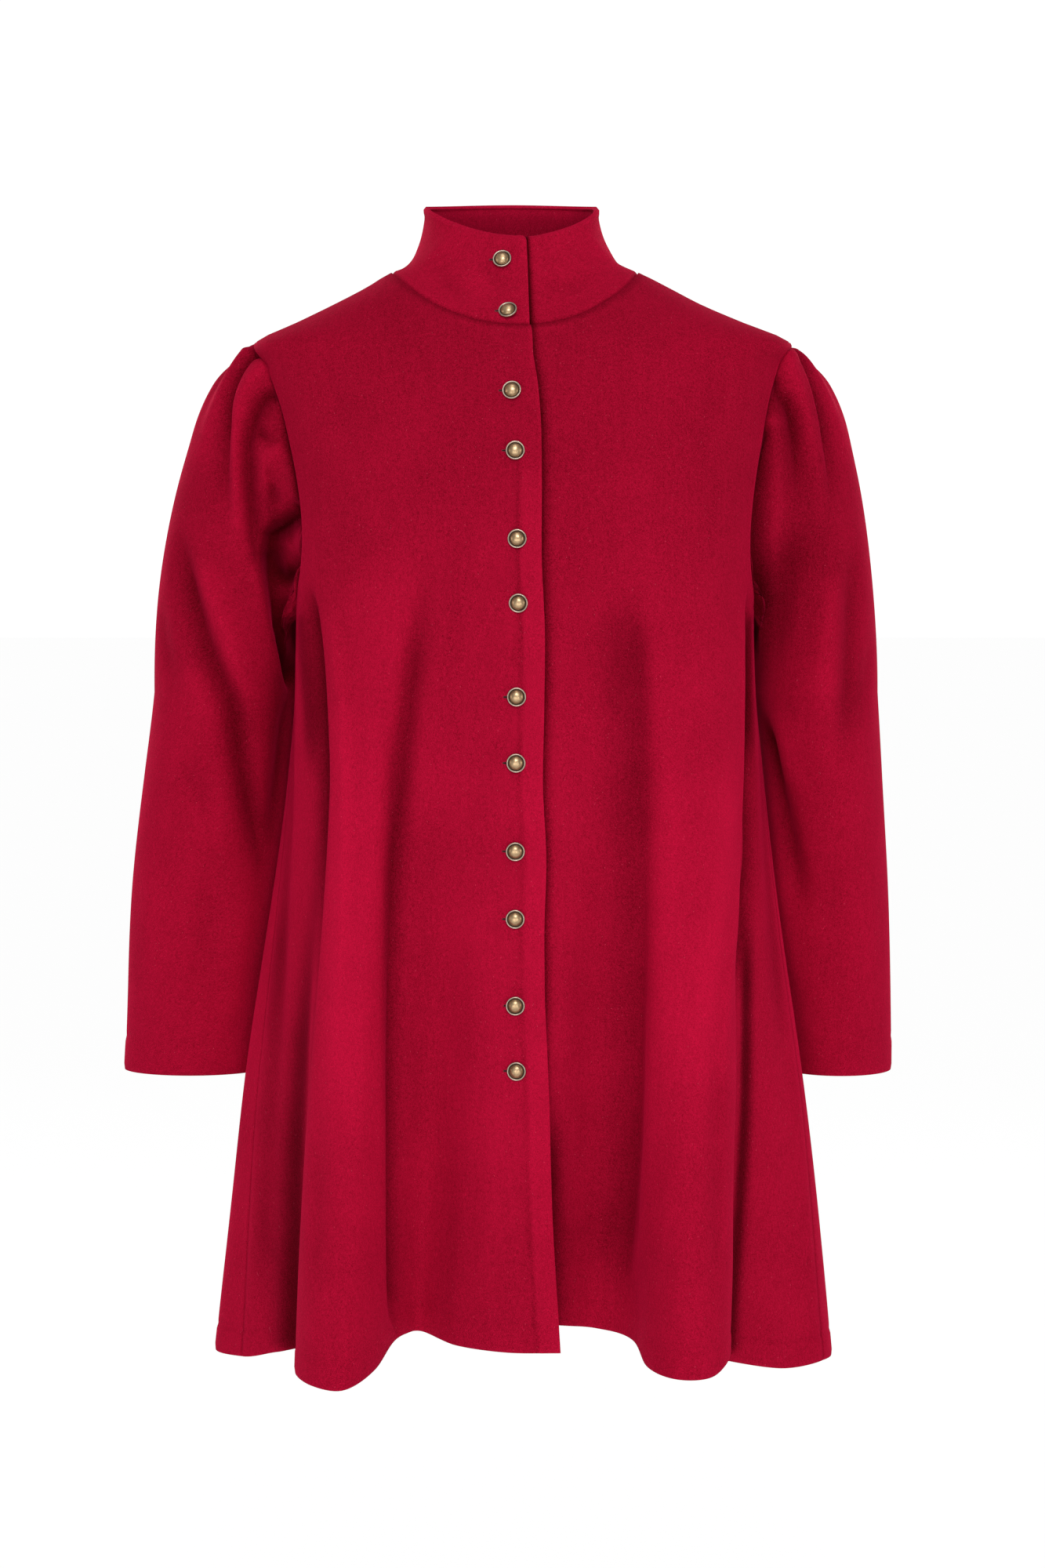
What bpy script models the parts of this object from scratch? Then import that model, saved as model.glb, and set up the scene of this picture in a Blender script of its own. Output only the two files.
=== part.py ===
# A flared wool coat that keeps the shape it has when worn, with nobody in it.
# It has a standing funnel collar, a front that laps over and closes with twelve
# metal buttons, pleated sleeve heads, and a hem that falls in deep round folds.
# Metres, +Z up, and the front faces -Y. The origin is at the height of the side
# of the neck, midway between the shoulders, where the wearer holds the coat up.
# "left" and "right" are the wearer's, so right is -X.

import math
from collections import namedtuple

import bmesh
import bpy
import numpy as np
from mathutils import Matrix, Vector

MM = 0.001

# Cloth and seams.
WALL = 2.0 * MM  # fulled wool, with its turnings
SEAM_GAP = 0.3 * MM  # between two pieces that are sewn together
LAP_STEP = 3.2 * MM  # how far the under front lies behind the upper one
LAP_FULL, LAP_END = 12.0, 26.0  # bearings between which that step fades out

# The body is a stack of rounded rings. Bearings run in degrees round it, seen
# from above: 0 is straight ahead, 90 the wearer's left side, 180 the back.
SHOULDER_DROP = -54 * MM
ARMPIT = -262 * MM
RING_POWER = 2.8  # 2 is an ellipse, and more is squarer
UNDER_EDGE, LEFT_SIDE, RIGHT_SIDE, OVER_EDGE = -14.0, 90.0, 270.0, 366.0

Ring = namedtuple("Ring", "height centre_x half_width front_depth back_depth")
BODY_RINGS = (
    Ring(0, -6, 97, 60, 62),
    Ring(-13, -4, 120, 71, 73),
    Ring(-26, -4, 145, 82, 84),
    Ring(-40, -2, 176, 91, 94),
    Ring(-54, 0, 208, 99, 101),
    Ring(-74, 0, 204, 107, 107),
    Ring(-120, 2, 193, 119, 114),
    Ring(-180, 3, 183, 129, 117),
    Ring(-262, 2, 180, 132, 117),
    Ring(-400, 2, 186, 133, 119),
    Ring(-520, 1, 196, 134, 124),
    Ring(-640, 1, 208, 137, 131),
    Ring(-860, 1, 219, 142, 154),
)

# The armhole, from the shoulder tip down to the armpit: where its front and its
# back edge cut into the side, as degrees short of the side.
Armhole = namedtuple("Armhole", "height front_bite back_bite")
ARMHOLE = (
    Armhole(-54, 0.0, 0.0),
    Armhole(-60, 6.5, 6.0),
    Armhole(-74, 11.0, 10.5),
    Armhole(-97, 14.2, 13.7),
    Armhole(-130, 16.0, 15.5),
    Armhole(-170, 18.0, 16.5),
    Armhole(-210, 18.5, 16.5),
    Armhole(-240, 15.2, 13.8),
    Armhole(-255, 9.0, 8.5),
    Armhole(-262, 0.0, 0.0),
)

# The neckline, seen from the front.
NECK_HALF_WIDTH = 97 * MM
NECK_FRONT_DROP = 45 * MM
NECK_BACK_DROP = 8 * MM
NECK_ROUNDNESS = 2.2

# Each row is one line of cloth that runs down to the hem, met on both sides of
# the body. It leaves the plain ring at the height "starts", and ends at the hem
# as far out from the middle as left_x or right_x says. "left" and "right" are its
# bearings, counted from the front on either side. Between two rows the cloth
# swings over in a smooth curve.
Line = namedtuple("Line", "name left right left_x right_x y left_z right_z starts")
FOLD_LINES = (
    Line("valley by the opening", 24, 24, 57, 81, -97, -818, -820, -380),
    Line("foot of front fold", 34, 32, 84, 99, -118, -823, -824, -360),
    Line("inner side of front fold", 42, 38, 94, 111, -158, -835, -837, -340),
    Line("crest of front fold", 51, 45, 119, 135, -190, -838, -846, -320),
    Line("brow of front fold", 58, 51, 143, 158, -179, -838, -845, -300),
    Line("outer side of front fold", 65, 57, 158, 173, -148, -830, -842, -280),
    Line("valley behind front fold", 72, 66, 152, 162, -97, -842, -834, -280),
    Line("side panel", 81, 78, 203, 192, -62, -857, -844, -300),
    Line("side seam", 90, 90, 238, 222, -36, -856, -853, -300),
    Line("side corner", 99, 99, 246, 246, 2, -855, -854, -300),
    Line("behind the corner", 106, 106, 231, 230, 36, -846, -846, -300),
    Line("side of the back", 114, 114, 205, 204, 62, -844, -844, -300),
    Line("side back valley", 123, 123, 180, 180, 100, -841, -841, -300),
    Line("rise to the outer back fold", 130, 130, 180, 182, 140, -844, -844, -320),
    Line("outer back fold", 137, 137, 166, 168, 171, -847, -847, -330),
    Line("fall from the outer back fold", 144, 144, 142, 144, 160, -845, -845, -350),
    Line("outer back valley", 151, 151, 115, 116, 128, -841, -841, -380),
    Line("rise to the inner back fold", 159, 159, 96, 96, 158, -844, -844, -370),
    Line("inner back fold", 166, 166, 66, 65, 187, -847, -847, -360),
    Line("fall from the inner back fold", 173, 173, 34, 32, 170, -845, -845, -380),
)
MIDDLE_BACK = Line("middle back valley", 180, 180, 3, 3, 138, -841, -841, -400)

# The two front edges. They overlap, so x is signed here. They stay close down
# to the last button, and swing apart below it.
Edge = namedtuple("Edge", "bearing x y z starts")
UNDER_FRONT = (
    Edge(UNDER_EDGE, -40, -130, -813, -560),
    Edge(2, -3, -136, -813, -560),
    Edge(13, 26, -118, -813, -540),
)
OVER_FRONT = (
    Edge(346, -53, -126, -825, -560),
    Edge(356, -13, -149, -826, -560),
    Edge(OVER_EDGE, 29, -151, -826, -560),
)
FLARE_POWER = 1.1  # above 1 a fold opens softly at its top

# The grid of each cloth piece: heights at the sides, and columns.
SIDE_ROWS = (
    0, -13, -26, -40, -54, -60, -74, -97, -130, -170, -210, -240, -255, -262,
    -300, -350, -400, -455, -515, -580, -650, -725,
)  # fmt: skip
COLUMN_WIDTH = 25 * MM  # about, at the hem
EDGE_FOLLOW = 4  # above 1, only the columns by an armhole bend round it

# Collar: it stands up from the neckline and leans in. Its ends lap as the fronts do.
COLLAR_ROWS = 5
COLLAR_TOP_X = -9 * MM
COLLAR_FRONT_X = 7 * MM  # how far its front sits towards the wearer's left of that
COLLAR_TOP_HALF_WIDTH = 67.7 * MM
COLLAR_TOP_FRONT = 60 * MM
COLLAR_TOP_BACK = 54 * MM
COLLAR_SIDE_HEIGHT = 49 * MM
COLLAR_BACK_RISE = 9 * MM
COLLAR_FRONT_DIP = 24 * MM
COLLAR_KNEE = (0.45, 0.12)  # 0.5 is a straight slope and less is hollow: in front, at a side

# Sleeves: rings below the armpit, and a head that bulges out from the armhole.
Cuff = namedtuple("Cuff", "height outer inner y half_depth")
RIGHT_SLEEVE = (
    Cuff(-330, 295, 181.5, 31, 68),
    Cuff(-400, 304, 186, 41, 65),
    Cuff(-480, 315, 193, 52, 60),
    Cuff(-638, 324, 210, 71, 49),
)
LEFT_SLEEVE = (
    Cuff(-330, 283.5, 186, 31, 68),
    Cuff(-400, 288.5, 192, 41, 65),
    Cuff(-480, 294.5, 196, 52, 60),
    Cuff(-638, 300, 211, 71, 51),
)
HEAD_ROWS, ARM_ROWS = 10, 5
HEAD_GATHER = 2.8  # above 1, more of the sleeve's width is pleated in near the tip
HEAD_REACH = (54 * MM, 8 * MM)  # how far the head runs outwards: at its top, at the armpit
HEAD_FALL = (112 * MM, 24 * MM)  # over what height it turns down: the same two places
HEAD_SLOPE = 0.35  # fall of the head as it leaves the shoulder, per metre out

# Knife pleats in the sleeve head and soft folds of the arm: angle round the
# sleeve from its outside (90 is its front), rise, and the share of its length
# over which it is deepest and where it has died out.
Pleat = namedtuple("Pleat", "angle rise peak end")
SLEEVE_PLEATS = (
    Pleat(0, 0, 0.2, 0.5),
    Pleat(40, 2.0, 0.3, 0.8),
    Pleat(66, -4.0, 0.25, 0.8),
    Pleat(84, 5.0, 0.25, 0.9),
    Pleat(106, -6.0, 0.25, 0.7),
    Pleat(124, 4.0, 0.25, 0.7),
    Pleat(142, -4.0, 0.3, 0.6),
    Pleat(160, 1.0, 0.3, 0.6),
    Pleat(180, 0, 0.3, 0.6),
    Pleat(200, 1.0, 0.3, 0.6),
    Pleat(218, -4.0, 0.3, 0.6),
    Pleat(236, 4.0, 0.25, 0.7),
    Pleat(254, -6.0, 0.25, 0.7),
    Pleat(276, 5.0, 0.25, 0.9),
    Pleat(294, -4.0, 0.25, 0.8),
    Pleat(320, 2.0, 0.3, 0.8),
    Pleat(360, 0, 0.2, 0.5),
)

# Buttons, set in pairs down the upper front, two of them on the collar. The
# turned profile is (radius, height) from the middle of the dome to the shank,
# which runs on back to the under front.
Button = namedtuple("Button", "height x")
BUTTONS = (
    Button(5.5, -15.5), Button(-35, -11), Button(-96.5, -8), Button(-142, -5.6),
    Button(-208.5, -4), Button(-257, -3), Button(-328, -4.5), Button(-378, -5),
    Button(-445, -5.5), Button(-496.5, -5.5), Button(-562.5, -5.5), Button(-612, -4.5),
)  # fmt: skip
COLLAR_BUTTONS = 2
BUTTON_SIDES = 12
BUTTON_FACE = (
    (0.0, 4.9), (2.6, 4.5), (4.6, 3.2), (5.3, 2.0), (5.9, 1.9), (6.7, 2.5), (7.2, 1.7),
    (6.6, 0.9), (1.3, 0.6),
)  # fmt: skip
SHANK_RADIUS = 1.3
BUTTONHOLE_LENGTH = 11.5 * MM
BUTTONHOLE_HEIGHT = 3.4 * MM
BUTTONHOLE_PAST_SHANK = 2.0 * MM  # the shank sits at the end nearer the front edge
CUTTER_DEPTH = 12 * MM

WOOL_RED = (0.33, 0.003, 0.021, 1.0)
OLD_BRASS = (0.35, 0.26, 0.14, 1.0)


def curve_through(stations, values, at):
    """The smooth curve through values at those stations, read at each place in at.

    values is (station, ...) or, where each place has its own, (place, station, ...).
    """
    stations = np.asarray(stations, float)
    values = np.asarray(values, float)
    at = np.clip(np.atleast_1d(np.asarray(at, float)), stations[0], stations[-1])
    if values.shape[0] != len(at) or values.ndim < 3:
        values = np.broadcast_to(values, (len(at),) + values.shape)
    slopes = np.gradient(values, stations, axis=1)
    low = np.clip(np.searchsorted(stations, at, side="right") - 1, 0, len(stations) - 2)
    place = np.arange(len(at))
    gap = (stations[low + 1] - stations[low]).reshape((-1,) + (1,) * (values.ndim - 2))
    t = (at - stations[low]).reshape(gap.shape) / gap
    start, end = values[place, low], values[place, low + 1]
    leave, arrive = slopes[place, low] * gap, slopes[place, low + 1] * gap
    return (
        start * (1 + 2 * t) * (1 - t) ** 2
        + leave * t * (1 - t) ** 2
        + end * t * t * (3 - 2 * t)
        + arrive * t * t * (t - 1)
    )


def rings_at(heights, rings):
    """Each column of a table of rings, read at those heights, in metres."""
    rows = np.array(sorted(rings), float) * MM
    return curve_through(rows[:, 0], rows[:, 1:], heights).T


def plain_ring(bearings, heights):
    """Points (x, y) of the body's plain rings."""
    centre, half_width, front, back = rings_at(heights, BODY_RINGS)
    turn = np.radians(bearings)
    sine, cosine = np.sin(turn), np.cos(turn)
    depth = np.where(cosine > 0, front, back)
    across = (np.abs(sine) / half_width) ** RING_POWER
    along = (np.abs(cosine) / depth) ** RING_POWER
    reach = (across + along) ** (-1 / RING_POWER)
    return np.stack([centre + reach * sine, -reach * cosine], axis=1)


def all_lines():
    """The fold lines once round the body, from the under edge to the over edge.

    Each row is bearing, x, y and z at the hem, and the height where it starts.
    """
    left = [(f.left, f.left_x, f.y, f.left_z, f.starts) for f in FOLD_LINES]
    right = [(360 - f.right, -f.right_x, f.y, f.right_z, f.starts) for f in FOLD_LINES]
    m = MIDDLE_BACK
    rows = [*UNDER_FRONT, *left, (m.left, m.left_x, m.y, m.left_z, m.starts)]
    rows += [*reversed(right), *OVER_FRONT]
    table = np.array([tuple(row) for row in rows], float)
    table[:, 1:] *= MM
    return table


LINES = all_lines()


def hem_height(bearings):
    return curve_through(LINES[:, 0], LINES[:, 3], bearings)


def cloth(bearings, heights):
    """Points of the coat's outer face at those bearings and heights."""
    bearings = np.asarray(bearings, float)
    heights = np.asarray(heights, float)
    places = plain_ring(bearings, heights)
    hem_ring = plain_ring(LINES[:, 0], LINES[:, 3])
    swing = LINES[:, 1:3] - hem_ring
    starts, ends = LINES[:, 4], LINES[:, 3]
    fallen = np.clip((starts - heights[:, None]) / (starts - ends), 0, None) ** FLARE_POWER
    places = places + curve_through(LINES[:, 0], fallen[:, :, None] * swing, bearings)
    lap = np.clip((LAP_END - bearings) / (LAP_END - LAP_FULL), 0, 1)
    lap = lap * lap * (3 - 2 * lap) * LAP_STEP
    turn = np.radians(bearings)
    inwards = np.stack([-np.sin(turn), np.cos(turn)], axis=1)
    return np.column_stack([places + inwards * lap[:, None], heights])


def unit(vectors):
    return vectors / np.maximum(np.linalg.norm(vectors, axis=-1, keepdims=True), 1e-12)


def cloth_normals(bearings, heights):
    """Outward normals of that face."""
    turn_step, fall_step = 0.2, 0.5 * MM
    bearings, heights = np.asarray(bearings, float), np.asarray(heights, float)
    round_body = cloth(bearings + turn_step, heights) - cloth(bearings - turn_step, heights)
    down_body = cloth(bearings, heights - fall_step) - cloth(bearings, heights + fall_step)
    return unit(np.cross(down_body, round_body))


def neck_table(drop, front):
    """(bearings, heights) of the neckline, from the middle to the side of the neck."""
    out = np.linspace(0, 1, 160)
    heights = -drop * (1 - out**NECK_ROUNDNESS) ** 0.9
    centre, half_width, front_depth, back_depth = rings_at(heights, BODY_RINGS)
    depth = front_depth if front else back_depth
    across = np.clip(out * NECK_HALF_WIDTH / half_width, 0, 1)
    y = depth * (1 - across**RING_POWER) ** (1 / RING_POWER)
    return np.degrees(np.arctan2(across * half_width, y)), heights


NECK_FRONT, NECK_BACK = neck_table(NECK_FRONT_DROP, True), neck_table(NECK_BACK_DROP, False)


def neck_height(bearings):
    around = np.abs((np.asarray(bearings, float) + 180) % 360 - 180)
    front = np.interp(around, *NECK_FRONT)
    back = np.interp(180 - around, *NECK_BACK)
    return np.where(around <= 90, front, back)


def armhole_bearing(heights, side, front):
    """Bearing of one edge of an armhole, on the side whose own bearing is side."""
    rows = np.array(ARMHOLE[::-1], float)
    bite = np.interp(heights, rows[:, 0] * MM, rows[:, 1 if front else 2], left=0, right=0)
    towards_front = -1 if side == LEFT_SIDE else 1
    return side + bite * towards_front * (1 if front else -1)


def columns_between(first, last):
    """Bearings of the columns: one on each fold line, and more where those lie far apart."""
    lines = [b for b in LINES[:, 0] if first + 1 < b < last - 1]
    marks = np.array([first, *lines, last])
    hem = cloth(marks, hem_height(marks))
    widths = np.linalg.norm(np.diff(hem, axis=0), axis=1)
    columns = [first]
    for start, end, width in zip(marks, marks[1:], widths):
        steps = max(1, round(width / COLUMN_WIDTH))
        columns.extend(np.linspace(start, end, steps + 1)[1:])
    return np.array(columns)


def panel_grid(columns, first_edge, last_edge):
    """(bearings, heights) of a piece of the body, row by row from the neck to the hem.

    first_edge and last_edge are None at a front edge, or (side, front) at a side.
    """
    share = (columns - columns[0]) / (columns[-1] - columns[0])
    side = LEFT_SIDE if (last_edge or first_edge)[0] == LEFT_SIDE else RIGHT_SIDE
    side_hem = float(hem_height([side])[0])
    falls = [z * MM for z in SIDE_ROWS] + [side_hem]
    bearings, heights = [], []
    for fall in falls:
        tau = fall / side_hem
        across = columns.copy()
        ends = ((first_edge, (1 - share), 0), (last_edge, share, -1))
        for edge, nearness, end in ends:
            if edge is not None:
                bite = float(armhole_bearing(fall, *edge)) - columns[end]
                across = across + bite * nearness**EDGE_FOLLOW
        row = neck_height(across) * (1 - tau) + hem_height(across) * tau
        for edge, nearness, end in ends:
            if edge is not None and fall > side_hem:
                row = row + nearness**2 * (fall - row[end])
        bearings.append(across)
        heights.append(row)
    return np.array(bearings), np.array(heights)


def shell(name, outer, normals, material, closed=False):
    """One closed solid: a grid of outer points, the same grid a wall further in, and a rim."""
    rows, columns = outer.shape[:2]
    inner = outer - normals * WALL
    mesh = bmesh.new()
    faces_of = []
    for points in (outer, inner):
        faces_of.append([[mesh.verts.new(p) for p in row] for row in points])
    out, inn = faces_of
    wraps = columns if closed else columns - 1
    for r in range(rows - 1):
        for c in range(wraps):
            d = (c + 1) % columns
            mesh.faces.new((out[r][c], out[r + 1][c], out[r + 1][d], out[r][d]))
            mesh.faces.new((inn[r][c], inn[r][d], inn[r + 1][d], inn[r + 1][c]))
    for c in range(wraps):
        d = (c + 1) % columns
        mesh.faces.new((out[0][c], out[0][d], inn[0][d], inn[0][c]))
        mesh.faces.new((out[-1][c], inn[-1][c], inn[-1][d], out[-1][d]))
    if not closed:
        for r in range(rows - 1):
            mesh.faces.new((out[r][0], inn[r][0], inn[r + 1][0], out[r + 1][0]))
            mesh.faces.new((out[r][-1], out[r + 1][-1], inn[r + 1][-1], inn[r][-1]))
    return add_object(name, mesh, material)


def add_object(name, mesh, material):
    data = bpy.data.meshes.new(name)
    mesh.to_mesh(data)
    mesh.free()
    data.materials.append(material)
    data.shade_smooth()
    data.set_sharp_from_angle(angle=math.radians(50))
    made = bpy.data.objects.new(name, data)
    bpy.context.scene.collection.objects.link(made)
    return made


def drawn_back(points, gap, first_column=False, last_column=False, first_row=False):
    """The grid with those edges moved in along the cloth, to leave a seam."""
    points = points.copy()
    if first_column:
        points[:, 0] += unit(points[:, 1] - points[:, 0]) * gap
    if last_column:
        points[:, -1] += unit(points[:, -2] - points[:, -1]) * gap
    if first_row:
        points[0] += unit(points[1] - points[0]) * gap
    return points


def body_panel(name, columns, first_edge, last_edge, material):
    bearings, heights = panel_grid(columns, first_edge, last_edge)
    shape = bearings.shape + (3,)
    points = cloth(bearings.ravel(), heights.ravel()).reshape(shape)
    normals = cloth_normals(bearings.ravel(), heights.ravel()).reshape(shape)
    points = drawn_back(
        points, SEAM_GAP, first_edge is not None, last_edge is not None, first_row=True
    )
    return shell(name, points, normals, material)


def collar_top(bearings):
    """Points of the collar's top edge."""
    turn = np.radians(bearings)
    sine, cosine = np.sin(turn), np.cos(turn)
    depth = np.where(cosine > 0, COLLAR_TOP_FRONT, COLLAR_TOP_BACK)
    reach = ((sine / COLLAR_TOP_HALF_WIDTH) ** 2 + (cosine / depth) ** 2) ** -0.5
    lap = np.clip((LAP_END - bearings) / (LAP_END - LAP_FULL), 0, 1) * LAP_STEP
    reach = reach - lap
    centre = COLLAR_TOP_X + COLLAR_FRONT_X * np.clip(cosine, 0, 1)
    rise = COLLAR_BACK_RISE * np.clip(-cosine, 0, 1) - COLLAR_FRONT_DIP * np.clip(cosine, 0, 1) ** 1.3
    return np.column_stack(
        [centre + reach * sine, -reach * cosine, COLLAR_SIDE_HEIGHT + rise]
    )


def collar_points(bearings, ups):
    """Points of the collar's outer face; up runs from 0 at the neckline to 1 at the top."""
    foot = cloth(bearings, neck_height(bearings))
    top = collar_top(bearings)
    lean = top - foot
    sideways = np.sin(np.radians(bearings)) ** 2
    knee_up = (COLLAR_KNEE[0] + (COLLAR_KNEE[1] - COLLAR_KNEE[0]) * sideways)[:, None]
    knee = foot + lean * np.hstack([1 - knee_up, 1 - knee_up, knee_up])
    t = np.asarray(ups, float)[:, None]
    return foot * (1 - t) ** 2 + knee * 2 * t * (1 - t) + top * t * t


def collar(columns, material):
    ups = np.linspace(1, 0, COLLAR_ROWS)
    grid_bearings = np.tile(columns, (COLLAR_ROWS, 1))
    grid_ups = np.repeat(ups[:, None], len(columns), axis=1)
    shape = grid_bearings.shape + (3,)
    points = collar_points(grid_bearings.ravel(), grid_ups.ravel()).reshape(shape)
    step, rise = 0.3, 0.01
    around = collar_points((grid_bearings + step).ravel(), grid_ups.ravel()) - collar_points(
        (grid_bearings - step).ravel(), grid_ups.ravel()
    )
    down = collar_points(grid_bearings.ravel(), (grid_ups - rise).ravel()) - collar_points(
        grid_bearings.ravel(), (grid_ups + rise).ravel()
    )
    normals = unit(np.cross(down, around)).reshape(shape)
    foot_normals = cloth_normals(columns, neck_height(columns))
    normals[-1] = unit(normals[-1] + foot_normals)
    points[-1] += unit(points[-2] - points[-1]) * SEAM_GAP
    return shell("collar", points, normals, material)


def armhole_loop(side):
    """(t, points, normals) round one armhole: t runs 0 at the tip, 1 at the armpit, 2 at the tip."""
    heights = [h * MM for h in SIDE_ROWS if ARMPIT <= h * MM <= SHOULDER_DROP]
    front = [(float(armhole_bearing(h, side, True)), h) for h in heights]
    back = [(float(armhole_bearing(h, side, False)), h) for h in heights]
    loop = np.array(front + back[-2::-1])
    points = cloth(loop[:, 0], loop[:, 1])
    length = np.concatenate([[0], np.cumsum(np.linalg.norm(np.diff(points, axis=0), axis=1))])
    half = len(front) - 1
    t = np.where(
        length <= length[half],
        length / length[half],
        1 + (length - length[half]) / (length[-1] - length[half]),
    )
    middle = points.mean(axis=0)
    points = points + unit(middle - points) * SEAM_GAP * 1.3
    return t, points, cloth_normals(loop[:, 0], loop[:, 1])


def sleeve_ring(angles, heights, rings, out):
    """Points of the arm of the sleeve at those angles round it and heights."""
    outer, inner, y, half_depth = rings_at(heights, rings)
    turn = np.radians(angles)
    x = (outer + inner) / 2 + (outer - inner) / 2 * np.cos(turn)
    return np.column_stack([out * x, y - half_depth * np.sin(turn), heights])


def sleeve_grid(side, rings):
    """Rows of points of one sleeve, from its head at the armhole to its cuff."""
    out = 1 if side == LEFT_SIDE else -1
    creases = [pleat.angle for pleat in SLEEVE_PLEATS]
    between = [(a + b) / 2 for a, b in zip(creases, creases[1:])]
    angles = np.array(sorted(creases[:-1] + between))
    half_turn = np.minimum(angles, 360 - angles) / 180
    gathered = half_turn**HEAD_GATHER
    gathered = np.where(angles <= 180, gathered, 2 - gathered)
    t, loop, loop_normals = armhole_loop(side)
    head = np.stack([np.interp(gathered, t, loop[:, k]) for k in range(3)], axis=1)
    head_normals = unit(
        np.stack([np.interp(gathered, t, loop_normals[:, k]) for k in range(3)], axis=1)
    )
    top = rings[0].height * MM
    arm_top = sleeve_ring(angles, np.full(len(angles), top), rings, out)
    low = (1 - np.cos(np.radians(angles))) / 2
    reach = HEAD_REACH[0] + (HEAD_REACH[1] - HEAD_REACH[0]) * low
    fall = HEAD_FALL[0] + (HEAD_FALL[1] - HEAD_FALL[0]) * low
    leaving = unit(np.array([out, 0.0, -HEAD_SLOPE]))
    sideways = np.column_stack([np.zeros(len(angles)), -np.sin(np.radians(angles)), np.zeros(len(angles))])
    first_handle = head + (leaving + 0.35 * sideways) * reach[:, None]
    last_handle = arm_top + np.array([0, 0, 1.0]) * fall[:, None]
    rows = []
    for s in np.linspace(0, 1, HEAD_ROWS + 1) ** 1.25:
        rows.append(
            head * (1 - s) ** 3
            + first_handle * 3 * s * (1 - s) ** 2
            + last_handle * 3 * s * s * (1 - s)
            + arm_top * s**3
        )
    for height in np.linspace(top, rings[-1].height * MM, ARM_ROWS + 1)[1:]:
        rows.append(sleeve_ring(angles, np.full(len(angles), height), rings, out))
    return angles, np.array(rows), head_normals


def grid_normals(points, out):
    """Outward normals of a closed grid of sleeve points."""
    around = np.roll(points, -1, axis=1) - np.roll(points, 1, axis=1)
    down = np.gradient(points, axis=0)
    return unit(np.cross(down, around)) * -out


def sleeve(name, side, rings, material):
    out = 1 if side == LEFT_SIDE else -1
    angles, points, head_normals = sleeve_grid(side, rings)
    normals = grid_normals(points, out)
    down = np.linspace(0, 1, len(points))[:, None]
    pleats = np.array(SLEEVE_PLEATS, float)
    rise, peak, end = (
        curve_through(pleats[:, 0], pleats[:, k], angles)[None, :] for k in (1, 2, 3)
    )
    opened = np.clip(down / peak, 0, 1) ** 0.6 * np.clip((end - down) / (end - peak), 0, 1)
    points = points + normals * (rise * MM * opened)[:, :, None]
    normals = grid_normals(points, out)
    normals[0] = head_normals
    if out > 0:
        points, normals = points[:, ::-1], normals[:, ::-1]
    return shell(name, points, normals, material, closed=True)


def button_mesh(name, shank, material):
    """A domed button in a raised rim, with the shank behind it, about +Z."""
    mesh = bmesh.new()
    profile = (*BUTTON_FACE, (SHANK_RADIUS, -shank / MM), (0.0, -shank / MM))
    verts = [mesh.verts.new((r * MM, 0, h * MM)) for r, h in profile]
    edges = [mesh.edges.new(pair) for pair in zip(verts, verts[1:])]
    bmesh.ops.spin(
        mesh, geom=verts + edges, cent=(0, 0, 0), axis=(0, 0, 1),
        angle=math.tau, steps=BUTTON_SIDES, use_merge=True,
    )  # fmt: skip
    bmesh.ops.remove_doubles(mesh, verts=mesh.verts, dist=0.01 * MM)
    bmesh.ops.recalc_face_normals(mesh, faces=mesh.faces)
    return add_object(name, mesh, material)


def on_collar(bearings, height):
    """Points of the collar at one height, one for each bearing."""
    foot, top = neck_height(bearings), collar_top(bearings)[:, 2]
    ups = np.linspace(0, 1, 60)
    points = [collar_points(bearings, np.full(len(bearings), up)) for up in ups]
    points = np.array(points)
    place = np.array(
        [np.interp(height, points[:, k, 2], ups) for k in range(len(bearings))]
    )
    return collar_points(bearings, place)


def layer_at(x, height, bearings, collared):
    """(point, outward normal) of the layer over those bearings, where x and z are these."""
    found = []
    for level in (height, height - MM):
        if collared:
            points = on_collar(bearings, level)
        else:
            points = cloth(bearings, np.full(len(bearings), level))
        found.append([np.interp([x, x + MM], points[:, 0], points[:, k]) for k in range(3)])
    here = np.array(found[0])[:, 0]
    across = np.array(found[0])[:, 1] - here
    down = np.array(found[1])[:, 0] - here
    return here, unit(np.cross(down, across))


def facing_matrix(point, normal):
    """A frame whose Z is the normal and whose X lies level."""
    z = Vector(normal)
    x = Vector((0, 0, 1)).cross(z).normalized()
    y = z.cross(x)
    frame = Matrix((x, y, z)).transposed().to_4x4()
    frame.translation = Vector(point)
    return frame


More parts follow.
